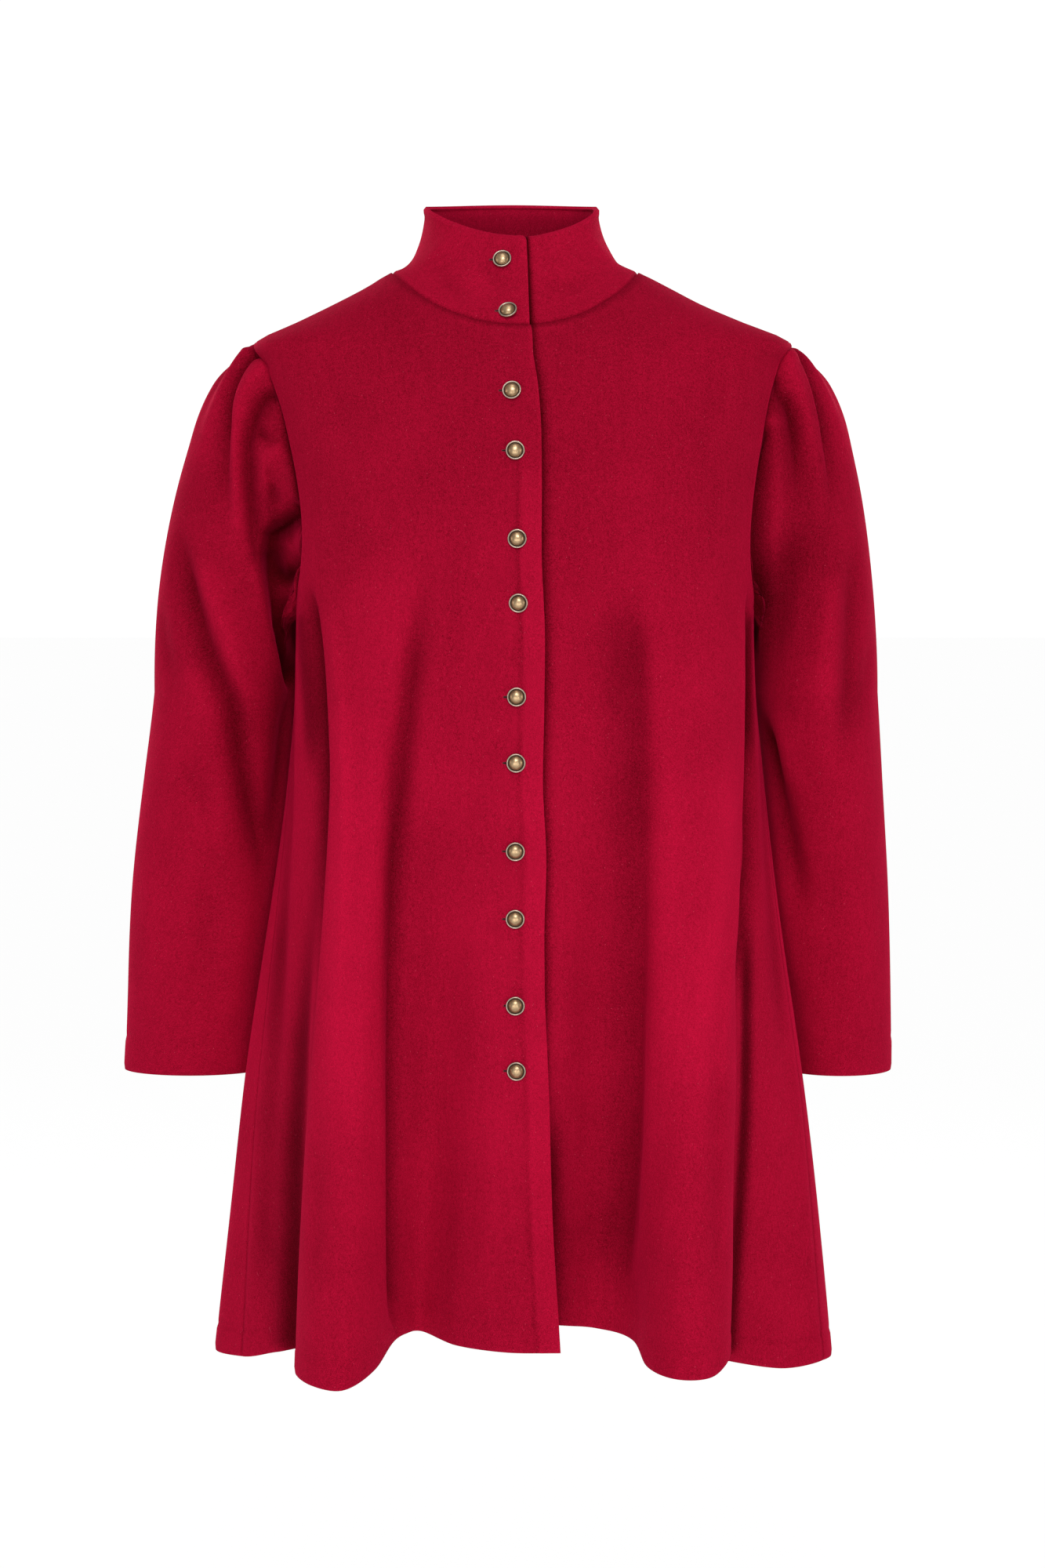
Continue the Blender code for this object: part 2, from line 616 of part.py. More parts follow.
def fasten(front, collar_piece, material):
    """Sets the twelve buttons, and cuts the buttonhole that each shank passes."""
    slots = {front.name: bmesh.new(), collar_piece.name: bmesh.new()}
    for index, spec in enumerate(BUTTONS):
        x, height = spec.x * MM, spec.height * MM
        collared = index < COLLAR_BUTTONS
        point, normal = layer_at(x, height, np.linspace(340, OVER_EDGE, 60), collared)
        under, _ = layer_at(x, height, np.linspace(UNDER_EDGE, 12, 60), collared)
        shank = (under[1] - point[1]) * -normal[1] - SEAM_GAP
        frame = facing_matrix(point, normal)
        button = button_mesh(f"button_{index + 1:02d}", shank, material)
        button.matrix_world = frame
        carrier = collar_piece if collared else front
        middle = BUTTONHOLE_PAST_SHANK - BUTTONHOLE_LENGTH / 2
        size = Matrix.Diagonal((BUTTONHOLE_LENGTH, BUTTONHOLE_HEIGHT, CUTTER_DEPTH, 1))
        place = frame @ Matrix.Translation((middle, 0, 0)) @ size
        bmesh.ops.create_cube(slots[carrier.name], size=1, matrix=place)
    for carrier in (front, collar_piece):
        cut = bpy.data.meshes.new(f"{carrier.name}_buttonholes")
        slots[carrier.name].to_mesh(cut)
        slots[carrier.name].free()
        cutter = bpy.data.objects.new(cut.name, cut)
        cutter.hide_render = True
        cutter.display_type = "WIRE"
        bpy.context.scene.collection.objects.link(cutter)
        boolean = carrier.modifiers.new("Buttonholes", "BOOLEAN")
        boolean.operation = "DIFFERENCE"
        boolean.object = cutter


def make_material(name, color, roughness, metallic):
    made = bpy.data.materials.new(name)
    made.use_nodes = True
    shader = made.node_tree.nodes["Principled BSDF"]
    shader.inputs["Base Color"].default_value = color
    shader.inputs["Roughness"].default_value = roughness
    shader.inputs["Metallic"].default_value = metallic
    return made


def main():
    for old in list(bpy.data.objects):
        bpy.data.objects.remove(old)
    wool = make_material("wool", WOOL_RED, 0.9, 0.0)
    brass = make_material("old_brass", OLD_BRASS, 0.35, 1.0)

    left_columns = columns_between(UNDER_EDGE, LEFT_SIDE)
    back_columns = columns_between(LEFT_SIDE, RIGHT_SIDE)
    right_columns = columns_between(RIGHT_SIDE, OVER_EDGE)
    body_panel("front_left", left_columns, None, (LEFT_SIDE, True), wool)
    body_panel("back", back_columns, (LEFT_SIDE, False), (RIGHT_SIDE, False), wool)
    front_right = body_panel("front_right", right_columns, (RIGHT_SIDE, True), None, wool)

    neck_columns = np.concatenate([left_columns, back_columns[1:], right_columns[1:]])
    collar_piece = collar(neck_columns, wool)
    sleeve("sleeve_right", RIGHT_SIDE, RIGHT_SLEEVE, wool)
    sleeve("sleeve_left", LEFT_SIDE, LEFT_SLEEVE, wool)
    fasten(front_right, collar_piece, brass)


main()
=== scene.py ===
import math

import bmesh
import bpy
import numpy as np
from mathutils import Matrix, Vector
from mathutils.bvhtree import BVHTree


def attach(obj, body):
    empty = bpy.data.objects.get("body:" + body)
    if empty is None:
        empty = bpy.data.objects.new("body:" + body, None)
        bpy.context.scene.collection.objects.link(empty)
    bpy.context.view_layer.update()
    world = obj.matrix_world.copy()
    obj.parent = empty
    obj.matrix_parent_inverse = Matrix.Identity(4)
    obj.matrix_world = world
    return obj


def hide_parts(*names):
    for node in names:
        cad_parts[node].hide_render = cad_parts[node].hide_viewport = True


# A flared wool coat in its worn shape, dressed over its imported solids.
# Lengths in the tables are millimetres, in the frame of the solids: +Z up, the
# front faces -Y, and the origin is the neck. Bearings are degrees round the
# body: 0 straight ahead, 90 the wearer's left, 180 the back.

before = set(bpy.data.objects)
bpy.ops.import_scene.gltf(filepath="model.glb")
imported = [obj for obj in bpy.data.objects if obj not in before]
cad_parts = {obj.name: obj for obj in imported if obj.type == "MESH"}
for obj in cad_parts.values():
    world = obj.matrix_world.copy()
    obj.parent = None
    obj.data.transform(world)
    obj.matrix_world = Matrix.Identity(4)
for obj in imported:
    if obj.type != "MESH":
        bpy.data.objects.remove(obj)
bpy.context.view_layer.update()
print("frame loaded,", len(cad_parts), "nodes")

mm = 0.001


def smooth(t):
    t = np.clip(t, 0, 1)
    return t * t * (3 - 2 * t)


def unit(vectors):
    return vectors / np.maximum(np.linalg.norm(vectors, axis=-1, keepdims=True), 1e-9)


def curveThrough(stations, values, at):  # smooth curve through values, read at each place
    stations = np.asarray(stations, float)
    values = np.asarray(values, float)
    at = np.clip(np.atleast_1d(np.asarray(at, float)), stations[0], stations[-1])
    if values.shape[0] != len(at) or values.ndim < 3:
        values = np.broadcast_to(values, (len(at),) + values.shape)
    slopes = np.gradient(values, stations, axis=1)
    low = np.clip(np.searchsorted(stations, at, side="right") - 1, 0, len(stations) - 2)
    place = np.arange(len(at))
    gap = (stations[low + 1] - stations[low]).reshape((-1,) + (1,) * (values.ndim - 2))
    t = (at - stations[low]).reshape(gap.shape) / gap
    start, end = values[place, low], values[place, low + 1]
    leave, arrive = slopes[place, low] * gap, slopes[place, low + 1] * gap
    return (
        start * (1 + 2 * t) * (1 - t) ** 2
        + leave * t * (1 - t) ** 2
        + end * t * t * (3 - 2 * t)
        + arrive * t * t * (t - 1)
    )


def gridNormals(points, wraps=False):  # outward on a grid whose rows run down and columns to the left side
    if wraps:  # the last column lies on the first
        padded = np.concatenate([points[:, -2:-1], points, points[:, 1:2]], axis=1)
        around = padded[:, 2:] - padded[:, :-2]
    else:
        around = np.gradient(points, axis=1)
    return unit(np.cross(np.gradient(points, axis=0), around))


body = {
    "wall": 2.0,
    "lapStep": 3.2,  # the under front lies this far behind the upper one
    "lapBearings": (12, 26),  # and meets it between these
    "tip": -54,
    "armpit": -262,
    "squareness": 2.8,
    "flare": 1.1,
    "underEdge": -14,
    "overEdge": 366,
    "edgeFollow": 4,
    # height, middle, half width, front depth, back depth
    "rings": (
        (0, -6, 97, 60, 62), (-13, -4, 120, 71, 73), (-26, -4, 145, 82, 84), (-40, -2, 176, 91, 94),
        (-54, 0, 208, 99, 101), (-74, 0, 204, 107, 107), (-120, 2, 193, 119, 114),
        (-180, 3, 183, 129, 117), (-262, 2, 180, 132, 117), (-400, 2, 186, 133, 119),
        (-520, 1, 196, 134, 124), (-640, 1, 208, 137, 131), (-860, 1, 219, 142, 154),
    ),
    # height, how many degrees short of the side the front and the back edge run
    "armhole": (
        (-54, 0, 0), (-60, 6.5, 6), (-74, 11, 10.5), (-97, 14.2, 13.7), (-130, 16, 15.5),
        (-170, 18, 16.5), (-210, 18.5, 16.5), (-240, 15.2, 13.8), (-255, 9, 8.5), (-262, 0, 0),
    ),
    "neck": {"halfWidth": 97, "frontDrop": 45, "backDrop": 8, "roundness": 2.2},
    # folds down to the hem: bearing on the left and right, x on both, y, hem height
    # on both, and the height where the fold opens
    "folds": (
        (24, 24, 57, 81, -97, -818, -820, -380), (34, 32, 84, 99, -118, -823, -824, -360),
        (42, 38, 94, 111, -158, -835, -837, -340), (51, 45, 119, 135, -190, -838, -846, -320),
        (58, 51, 143, 158, -179, -838, -845, -300), (65, 57, 158, 173, -148, -830, -842, -280),
        (72, 66, 152, 162, -97, -842, -834, -280), (81, 78, 203, 192, -62, -857, -844, -300),
        (90, 90, 238, 222, -36, -856, -853, -300), (99, 99, 246, 246, 2, -855, -854, -300),
        (106, 106, 231, 230, 36, -846, -846, -300), (114, 114, 205, 204, 62, -844, -844, -300),
        (123, 123, 180, 180, 100, -841, -841, -300), (130, 130, 180, 182, 140, -844, -844, -320),
        (137, 137, 166, 168, 171, -847, -847, -330), (144, 144, 142, 144, 160, -845, -845, -350),
        (151, 151, 115, 116, 128, -841, -841, -380), (159, 159, 96, 96, 158, -844, -844, -370),
        (166, 166, 66, 65, 187, -847, -847, -360), (173, 173, 34, 32, 170, -845, -845, -380),
    ),
    "middleBack": (180, 3, 138, -841, -400),
    "underFront": ((-14, -40, -130, -813, -560), (2, -3, -136, -813, -560), (13, 26, -118, -813, -540)),
    "overFront": ((346, -53, -126, -825, -560), (356, -13, -149, -826, -560), (366, 29, -151, -826, -560)),
    # the upper edge isn't quite straight: height, and how far it sways to the left
    "edgeSway": (
        (-826, 0), (-700, 0), (-640, 1.5), (-570, 2), (-500, 1.5), (-456, 2.5), (-393, -0.5), (-340, 0.5),
        (-276, 1), (-216, -2), (-159, -1.5), (-110, -0.5), (-87, -1), (-62, -4), (-45, -3),
    ),
}


def ringsAt(heights):
    rows = np.array(sorted(body["rings"]), float)
    return curveThrough(rows[:, 0], rows[:, 1:], heights).T


def plainRing(bearings, heights):
    middle, halfWidth, front, back = ringsAt(heights)
    sine, cosine = np.sin(np.radians(bearings)), np.cos(np.radians(bearings))
    power = body["squareness"]
    depth = np.where(cosine > 0, front, back)
    reach = ((np.abs(sine) / halfWidth) ** power + (np.abs(cosine) / depth) ** power) ** (-1 / power)
    return np.stack([middle + reach * sine, -reach * cosine], axis=1)


def foldTable():  # bearing, x, y, z and start of every fold line, once round
    left = [(f[0], f[2], f[4], f[5], f[7]) for f in body["folds"]]
    right = [(360 - f[1], -f[3], f[4], f[6], f[7]) for f in body["folds"]]
    return np.array(
        [*body["underFront"], *left, body["middleBack"], *reversed(right), *body["overFront"]], float
    )


folds = foldTable()


def hemHeight(bearings):
    return curveThrough(folds[:, 0], folds[:, 3], bearings)


def clothAt(bearings, heights):  # the coat's outer face
    bearings = np.asarray(bearings, float).ravel()
    heights = np.asarray(heights, float).ravel()
    swing = folds[:, 1:3] - plainRing(folds[:, 0], folds[:, 3])
    starts, ends = folds[:, 4], folds[:, 3]
    fallen = np.clip((starts - heights[:, None]) / (starts - ends), 0, None) ** body["flare"]
    places = plainRing(bearings, heights)
    places = places + curveThrough(folds[:, 0], fallen[:, :, None] * swing, bearings)
    full, end = body["lapBearings"]
    lap = smooth((end - bearings) / (end - full)) * body["lapStep"]
    turn = np.radians(bearings)
    inwards = np.stack([-np.sin(turn), np.cos(turn)], axis=1)
    return np.column_stack([places + inwards * lap[:, None], heights])


def neckTable(drop, front):
    neck = body["neck"]
    out = np.linspace(0, 1, 160)
    heights = -drop * (1 - out ** neck["roundness"]) ** 0.9
    middle, halfWidth, frontDepth, backDepth = ringsAt(heights)
    across = np.clip(out * neck["halfWidth"] / halfWidth, 0, 1)
    power = body["squareness"]
    y = (frontDepth if front else backDepth) * (1 - across**power) ** (1 / power)
    return np.degrees(np.arctan2(across * halfWidth, y)), heights


neckFront = neckTable(body["neck"]["frontDrop"], True)
neckBack = neckTable(body["neck"]["backDrop"], False)


def neckHeight(bearings):
    around = np.abs((np.asarray(bearings, float) + 180) % 360 - 180)
    return np.where(around <= 90, np.interp(around, *neckFront), np.interp(180 - around, *neckBack))


def armholeTurn(heights):  # 0 at the shoulder tip, pi at the armpit
    share = (np.asarray(heights, float) - body["tip"]) / (body["armpit"] - body["tip"])
    return np.arccos(1 - 2 * np.clip(share, 0, 1))


def armholeBite(heights, front):
    rows = np.array(body["armhole"], float)
    return curveThrough(armholeTurn(rows[:, 0]), rows[:, 1 if front else 2], armholeTurn(heights))


def alongTrack(points, normals, track):
    # signed distance of each point from a line on the cloth, and its share of the way along
    tangents = unit(np.gradient(track, axis=0))
    spacing = np.linalg.norm(np.diff(track, axis=0), axis=1).mean()
    nearest = np.empty(len(points), int)
    for first in range(0, len(points), 8000):
        some = points[first:first + 8000]
        gaps = ((some[:, None] - track[None]) ** 2).sum(axis=2)
        nearest[first:first + 8000] = gaps.argmin(axis=1)
    away = points - track[nearest]
    forward = (away * tangents[nearest]).sum(axis=1)
    sideways = away - forward[:, None] * tangents[nearest]
    side = np.sign((np.cross(tangents[nearest], sideways) * normals).sum(axis=1))
    share = (nearest + forward / spacing) / (len(track) - 1)
    return side * np.linalg.norm(sideways, axis=1), share


def pressCreases(points, normals, surface, creases):
    # a crease is its way over the cloth, width (or one for each side), depth (below
    # 0 for a ridge), ridge beside it and on which side, sharpness, and the shares over
    # which it fades in and out. Returns the rise of the cloth and its tone: painted
    # shade in the troughs and a painted highlight on the ridges.
    flat, flatNormals = points.reshape(-1, 3), normals.reshape(-1, 3)
    rise, tone = np.zeros(len(flat)), np.zeros(len(flat))
    for way, width, depth, lift, side, sharp, fadeIn, fadeOut in creases:
        way = np.array(way, float)
        before, after = width if isinstance(width, tuple) else (width, width)
        width = max(before, after)
        steps = np.linspace(0, len(way) - 1, 14 * len(way))
        track = surface(*curveThrough(np.arange(len(way)), way, steps).T)
        reach = 4 * width + 6
        low, high = track.min(axis=0) - reach, track.max(axis=0) + reach
        near = np.flatnonzero(((flat > low) & (flat < high)).all(axis=1))
        if not len(near):
            continue
        distance, share = alongTrack(flat[near], flatNormals[near], track)
        length = np.linalg.norm(np.diff(track, axis=0), axis=1).sum()
        over = np.maximum(np.maximum(-share, share - 1), 0) * length
        fade = np.exp(-((over / (0.8 * min(before, after))) ** 2))
        if fadeIn:
            fade = fade * smooth(share / fadeIn)
        if fadeOut:
            fade = fade * smooth((1 - share) / fadeOut)
        trough = np.exp(-(np.abs(distance / np.where(distance < 0, before, after)) ** sharp))
        ridge = np.exp(-(((distance - side * 1.9 * width) / (1.5 * width)) ** 2))
        rise[near] += (lift * ridge - depth * trough) * fade
        tone[near] += (0.08 * lift * ridge - 0.065 * depth * trough) * fade
    return rise.reshape(points.shape[:2]), np.clip(tone, -1, 0.35).reshape(points.shape[:2])


def drift(points, seed, size, count=9):  # slow unevenness that every hung cloth has
    random = np.random.default_rng(seed)
    total = np.zeros(points.shape[:2])
    for _ in range(count):
        way = random.normal(size=3) * (1, 1, 0.45)
        wave = random.uniform(55, 190)
        total += np.sin((points @ unit(way)) * math.tau / wave + random.uniform(0, math.tau)) * wave / 120
    return total * size / math.sqrt(count)


def makeSheet(name, points, tones, wall, replaced, wraps=False, reference=0):
    # a grid of points becomes one cloth piece: the grid comes flat, then takes its form
    rows, columns = points.shape[0] - 1, points.shape[1] - 1
    across = np.linalg.norm(np.diff(points, axis=1), axis=2)
    across = np.concatenate([np.zeros((rows + 1, 1)), np.cumsum(across, axis=1)], axis=1)
    across = across - across[:, [reference]]
    down = np.linalg.norm(np.diff(points, axis=0), axis=2)
    down = np.concatenate([np.zeros((1, columns + 1)), np.cumsum(down, axis=0)])
    mesh = bmesh.new()
    bmesh.ops.create_grid(mesh, x_segments=columns, y_segments=rows, size=0.5)
    # the tone of each point is painted light and shade, kept as an attribute
    brushed = mesh.verts.layers.float.new("brushed")
    uv = mesh.loops.layers.uv.new("cloth")
    cells = {}
    for vert in mesh.verts:
        cell = round((0.5 - vert.co.y) * rows), round((vert.co.x + 0.5) * columns)
        cells[vert] = cell
        vert.co = points[cell] * mm
        vert[brushed] = tones[cell]
    for face in mesh.faces:
        for loop in face.loops:
            cell = cells[loop.vert]
            loop[uv].uv = (across[cell] * mm, -down[cell] * mm)
    if wraps:
        bmesh.ops.remove_doubles(mesh, verts=mesh.verts, dist=0.01 * mm)
    bmesh.ops.recalc_face_normals(mesh, faces=mesh.faces)
    mesh.faces.ensure_lookup_table()
    middle = Vector(points.reshape(-1, 3).mean(axis=0) * mm)
    facing = sum((f.calc_center_median() - middle).dot(f.normal) * f.calc_area() for f in mesh.faces)
    if facing < 0:
        bmesh.ops.reverse_faces(mesh, faces=mesh.faces)
    made = sum(f.calc_area() for f in mesh.faces)
    piece = addPiece(name, mesh, wool)
    thick = piece.modifiers.new("Thickness", "SOLIDIFY")
    thick.thickness, thick.offset = wall * mm, -1
    rim = piece.modifiers.new("Rim", "BEVEL")
    rim.width, rim.segments, rim.limit_method, rim.angle_limit = 0.55 * mm, 2, "ANGLE", math.radians(65)
    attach(piece, "root")
    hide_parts(replaced)
    foot = across[-1, -1] - across[-1, 0]
    print(f"{name}: {rows}x{columns}, {made:.3f} m2 one layer, {foot:.0f} mm at its foot")
    return piece


def addPiece(name, mesh, material):
    data = bpy.data.meshes.new(name)
    mesh.to_mesh(data)
    mesh.free()
    data.materials.append(material)
    data.shade_smooth()
    piece = bpy.data.objects.new(name, data)
    bpy.context.scene.collection.objects.link(piece)
    return piece


class Signal:  # a socket of a shader: sums with it add Math nodes
    def __init__(self, tree, socket=None):
        self.tree, self.socket = tree, socket

    def node(self, kind, settings=None, values=None, out=0):
        made = self.tree.nodes.new("ShaderNode" + kind)
        for name, value in (settings or {}).items():
            if name == "stops":
                ramp = made.color_ramp.elements
                while len(ramp) < len(value):
                    ramp.new(0.5)
                for stop, (place, color) in zip(ramp, value):
                    stop.position, stop.color = place, color
            else:
                setattr(made, name, value)
        for name, value in (values or {}).items():
            if isinstance(value, Signal):
                self.tree.links.new(value.socket, made.inputs[name])
            else:
                made.inputs[name].default_value = value
        return Signal(self.tree, made.outputs[out] if len(made.outputs) else None)

    def math(self, operation, *others, clamp=False):
        values = dict(enumerate((self, *others)))
        return self.node("Math", {"operation": operation, "use_clamp": clamp}, values)

    def __add__(self, other): return self.math("ADD", other)
    def __radd__(self, other): return self.math("ADD", other)
    def __sub__(self, other): return self.math("SUBTRACT", other)
    def __mul__(self, other): return self.math("MULTIPLY", other)
    def __rmul__(self, other): return self.math("MULTIPLY", other)
    def __truediv__(self, other): return self.math("DIVIDE", other)
    def __rsub__(self, other): return self.node("Math", {"operation": "SUBTRACT"}, {0: other, 1: self})
    def __rtruediv__(self, other): return self.node("Math", {"operation": "DIVIDE"}, {0: other, 1: self})

    def between(self, low, high):  # 0 at low, 1 at high, smoothly
        values = {"Value": self, "From Min": low, "From Max": high}
        return self.node("MapRange", {"interpolation_type": "SMOOTHSTEP"}, values)


def newMaterial(name):
    material = bpy.data.materials.new(name)
    material.use_nodes = True
    material.node_tree.nodes.clear()
    return material, Signal(material.node_tree)


def noise(start, place, scale, detail=2.0, roughness=0.5, stretch=(1, 1, 1)):
    if stretch != (1, 1, 1):
        place = start.node("Mapping", None, {"Vector": place, "Scale": stretch})
    values = {"Vector": place, "Scale": scale, "Detail": detail, "Roughness": roughness}
    return start.node("TexNoise", None, values, out="Fac")


def blendColors(start, factor, first, second, how="MIX"):
    settings = {"data_type": "RGBA", "blend_type": how}
    return start.node("Mix", settings, {0: factor, 6: first, 7: second}, out=2)


def woolMaterial(name, look):
    material, start = newMaterial(name)
    place = start.node("TexCoord", out="Object")
    flat = start.node("UVMap", {"uv_map": "cloth"})
    # the cloth's painted light and shade, from its sheets
    brushed = start.node("Attribute", {"attribute_name": "brushed"}, out="Fac")
    flatX = start.node("SeparateXYZ", None, {0: flat}, out=0)
    flatY = start.node("SeparateXYZ", None, {0: flat}, out=1)

    # fulled twill under a short nap
    wander = noise(start, flat, 160, 2) * 0.9
    threads = flatX / look["twillPitch"] + flatY / look["twillPitch"] * 0.55 + wander
    twill = (threads * math.tau).math("SINE")
    pile = noise(start, place, look["napScale"], 3, 0.75)
    clumps = noise(start, place, look["napScale"] * 0.34, 2)
    ribs = noise(start, flat, 420, 2, 0.5, (1, 0.12, 1))
    cloudy = noise(start, place, 17, 3)
    streaks = noise(start, flat, 90, 3, 0.6, (1, 0.16, 1))

    # stray fibres that lie on the surface, a few to each palm's breadth
    lying = start.node("Mapping", None, {"Vector": flat, "Scale": (1, 0.55, 1), "Rotation": (0, 0, 0.6)})
    scattered = {"Vector": lying, "Scale": look["lintScale"]}
    bits = start.node("TexVoronoi", {"feature": "F1"}, scattered, out="Distance")
    rare = start.node("TexVoronoi", {"feature": "F1"}, scattered, out="Color")
    fibre = (1 - bits.between(0.05, 0.13)) * start.node("SeparateXYZ", None, {0: rare}).between(0.80, 0.84)

    # the colour runs from the shade colour to the light one by the nap's random grain and by the painted light
    # and shade
    grainAndPaintedLight = (
        (pile - 0.5) * look["napContrast"] + (clumps - 0.5) * look["clumpContrast"] + (ribs - 0.5) * 0.3
        + (cloudy - 0.5) * 0.5 + (streaks - 0.5) * 0.22 + brushed * 1.0 + twill * 0.04
    )
    amount = (grainAndPaintedLight * 0.4).math("ADD", 0.5, clamp=True)
    color = blendColors(start, amount, look["shade"], look["light"])
    color = blendColors(start, fibre * 0.5, color, look["fibre"])
    # painted shade: the deepest creases are darkened towards a near-black colour
    sunken = (0 - brushed).math("MULTIPLY", look["sunken"], clamp=True)
    color = blendColors(start, sunken, color, look["deep"])

    height = pile * 0.55 + clumps * 0.5 + twill * 0.1 + ribs * 0.3
    relief = {"Strength": look["bump"], "Distance": look["napHeight"], "Height": height}
    bump = start.node("Bump", None, relief, out="Normal")
    values = {
        "Base Color": color, "Roughness": 0.86 + (pile - 0.5) * 0.1, "Normal": bump, "IOR": 1.35,
        "Specular IOR Level": 0.03, "Sheen Weight": look["sheen"], "Sheen Roughness": 0.45,
        "Sheen Tint": look["sheenTint"],
    }
    shader = start.node("BsdfPrincipled", None, values)
    start.node("OutputMaterial", None, {"Surface": shader})
    return material


woolLook = {
    "shade": (0.070, 0.0000, 0.0000, 1),
    "light": (0.600, 0.0060, 0.0460, 1),
    "fibre": (0.75, 0.10, 0.17, 1),
    "twillPitch": 0.0019,
    "napScale": 1500,
    "lintScale": 420,
    "napContrast": 4.3,
    "clumpContrast": 0.8,
    "deep": (0.035, 0.0002, 0.0020, 1),
    "sunken": 0.62,
    "bump": 0.7,
    "napHeight": 0.0006,
    "sheen": 0.42,
    "sheenTint": (1.0, 0.012, 0.095, 1),
}
wool = woolMaterial("wool", woolLook)
print("wool made")


def panelRows(sideHem, above=11, beside=56, below=149):  # the height at the side of each row
    turn = np.linspace(0, 1, beside + 1)
    eased = 0.5 * turn + 0.5 * (1 - np.cos(turn * math.pi)) / 2
    tip, armpit = body["tip"], body["armpit"]
    return np.concatenate([
        np.linspace(0, tip, above + 1),
        tip + (armpit - tip) * eased[1:],
        np.linspace(armpit, sideHem, below + 1)[1:],
    ])


def panelColumns(first, last, count, closeTo=()):  # bearings, evenly over the hem, closer by the edges named
    marks = np.linspace(first, last, 800)
    speed = np.linalg.norm(np.diff(clothAt(marks, hemHeight(marks)), axis=0), axis=1)
    density = speed / speed.mean() + 0.35
    for edge, extra, reach in closeTo:
        density = density + extra * np.exp(-(((marks[1:] + marks[:-1]) / 2 - edge) / reach) ** 2)
    sums = np.concatenate([[0], np.cumsum(density)])
    return np.interp(np.linspace(0, sums[-1], count + 1), sums, marks)


def panelGrid(columns, firstSide, lastSide):
    # bearings and heights, row by row. firstSide and lastSide are None at a front
    # edge, or the bearing of the side seam and whether the panel is a front one
    share = (columns - columns[0]) / (columns[-1] - columns[0])
    ends = ((firstSide, 1 - share, 0), (lastSide, share, -1))
    side = (firstSide or lastSide)[0]
    sideHem = float(hemHeight([side])[0])
    falls = panelRows(sideHem)
    bearings, heights = [], []
    for fall in falls:
        across = columns.copy()
        for edge, nearness, end in ends:
            if edge is not None and body["armpit"] < fall < body["tip"]:
                towards = (-1 if edge[0] == 90 else 1) * (1 if edge[1] else -1)
                across = across + towards * armholeBite([fall], edge[1])[0] * nearness ** body["edgeFollow"]
        tau = fall / sideHem
        row = neckHeight(across) * (1 - tau) + hemHeight(across) * tau
        for edge, nearness, end in ends:
            if edge is not None:
                below = min(fall - body["armpit"], 0)  # the seam ends at its own hem height
                hem = float(hemHeight([edge[0]])[0])
                seam = fall + below * (hem - sideHem) / (sideHem - body["armpit"])
                row = row + nearness**2 * (seam - row[end])
        bearings.append(across)
        heights.append(row)
    bearings, heights = np.array(bearings), np.array(heights)
    if lastSide is None:
        sway = np.array(sorted(body["edgeSway"]), float)
        shift = curveThrough(sway[:, 0], sway[:, 1], heights.ravel()).reshape(heights.shape)
        bearings = bearings + np.degrees(shift / 130) * smooth((bearings - 352) / 14)
    return bearings, heights


def edgeDistance(points, column, row):  # how far each point lies from one edge of the grid, along the cloth
    if column is not None:
        steps = np.linalg.norm(np.diff(points, axis=1), axis=2)
        sums = np.concatenate([np.zeros((len(points), 1)), np.cumsum(steps, axis=1)], axis=1)
        return np.abs(sums - sums[:, [column]])
    steps = np.linalg.norm(np.diff(points, axis=0), axis=2)
    sums = np.concatenate([np.zeros((1, points.shape[1])), np.cumsum(steps, axis=0)])
    return np.abs(sums - sums[[row]])


def seamRoll(distance, drop, reach):  # cloth turned under at a seam: a low swell, then over the edge
    swell = 0.35 * np.exp(-(((distance - 1.6 * reach) / (1.2 * reach)) ** 2))
    return swell - drop * (1 - smooth(distance / reach))


def armholeZone(heights):  # 1 beside the armhole, 0 above and below it
    return smooth((body["tip"] - heights) / 4 + 0.6) * smooth((heights - body["armpit"]) / 8 + 0.5)


panels = {
    "front_left": {
        "edges": (body["underEdge"], 90), "sides": (None, (90, True)), "columns": 150,
        "closeTo": ((90, 1.2, 5),), "reference": 0, "seed": 11, "drift": 0.55,
        "flat": (0.53, 0.88), "area": 0.262,
    },
    "front_right": {
        "edges": (270, body["overEdge"]), "sides": ((270, True), None), "columns": 156,
        "closeTo": ((270, 1.2, 5), (366, 1.6, 5)), "reference": -1, "seed": 23, "drift": 0.55,
        "flat": (0.50, 0.88), "area": 0.245,
    },
    "back": {
        "edges": (90, 270), "sides": ((90, False), (270, False)), "columns": 196,
        "closeTo": ((90, 1.0, 4), (270, 1.0, 4)), "reference": 98, "seed": 37, "drift": 0.6,
        "flat": (0.95, 0.87), "area": 0.50,
    },
}

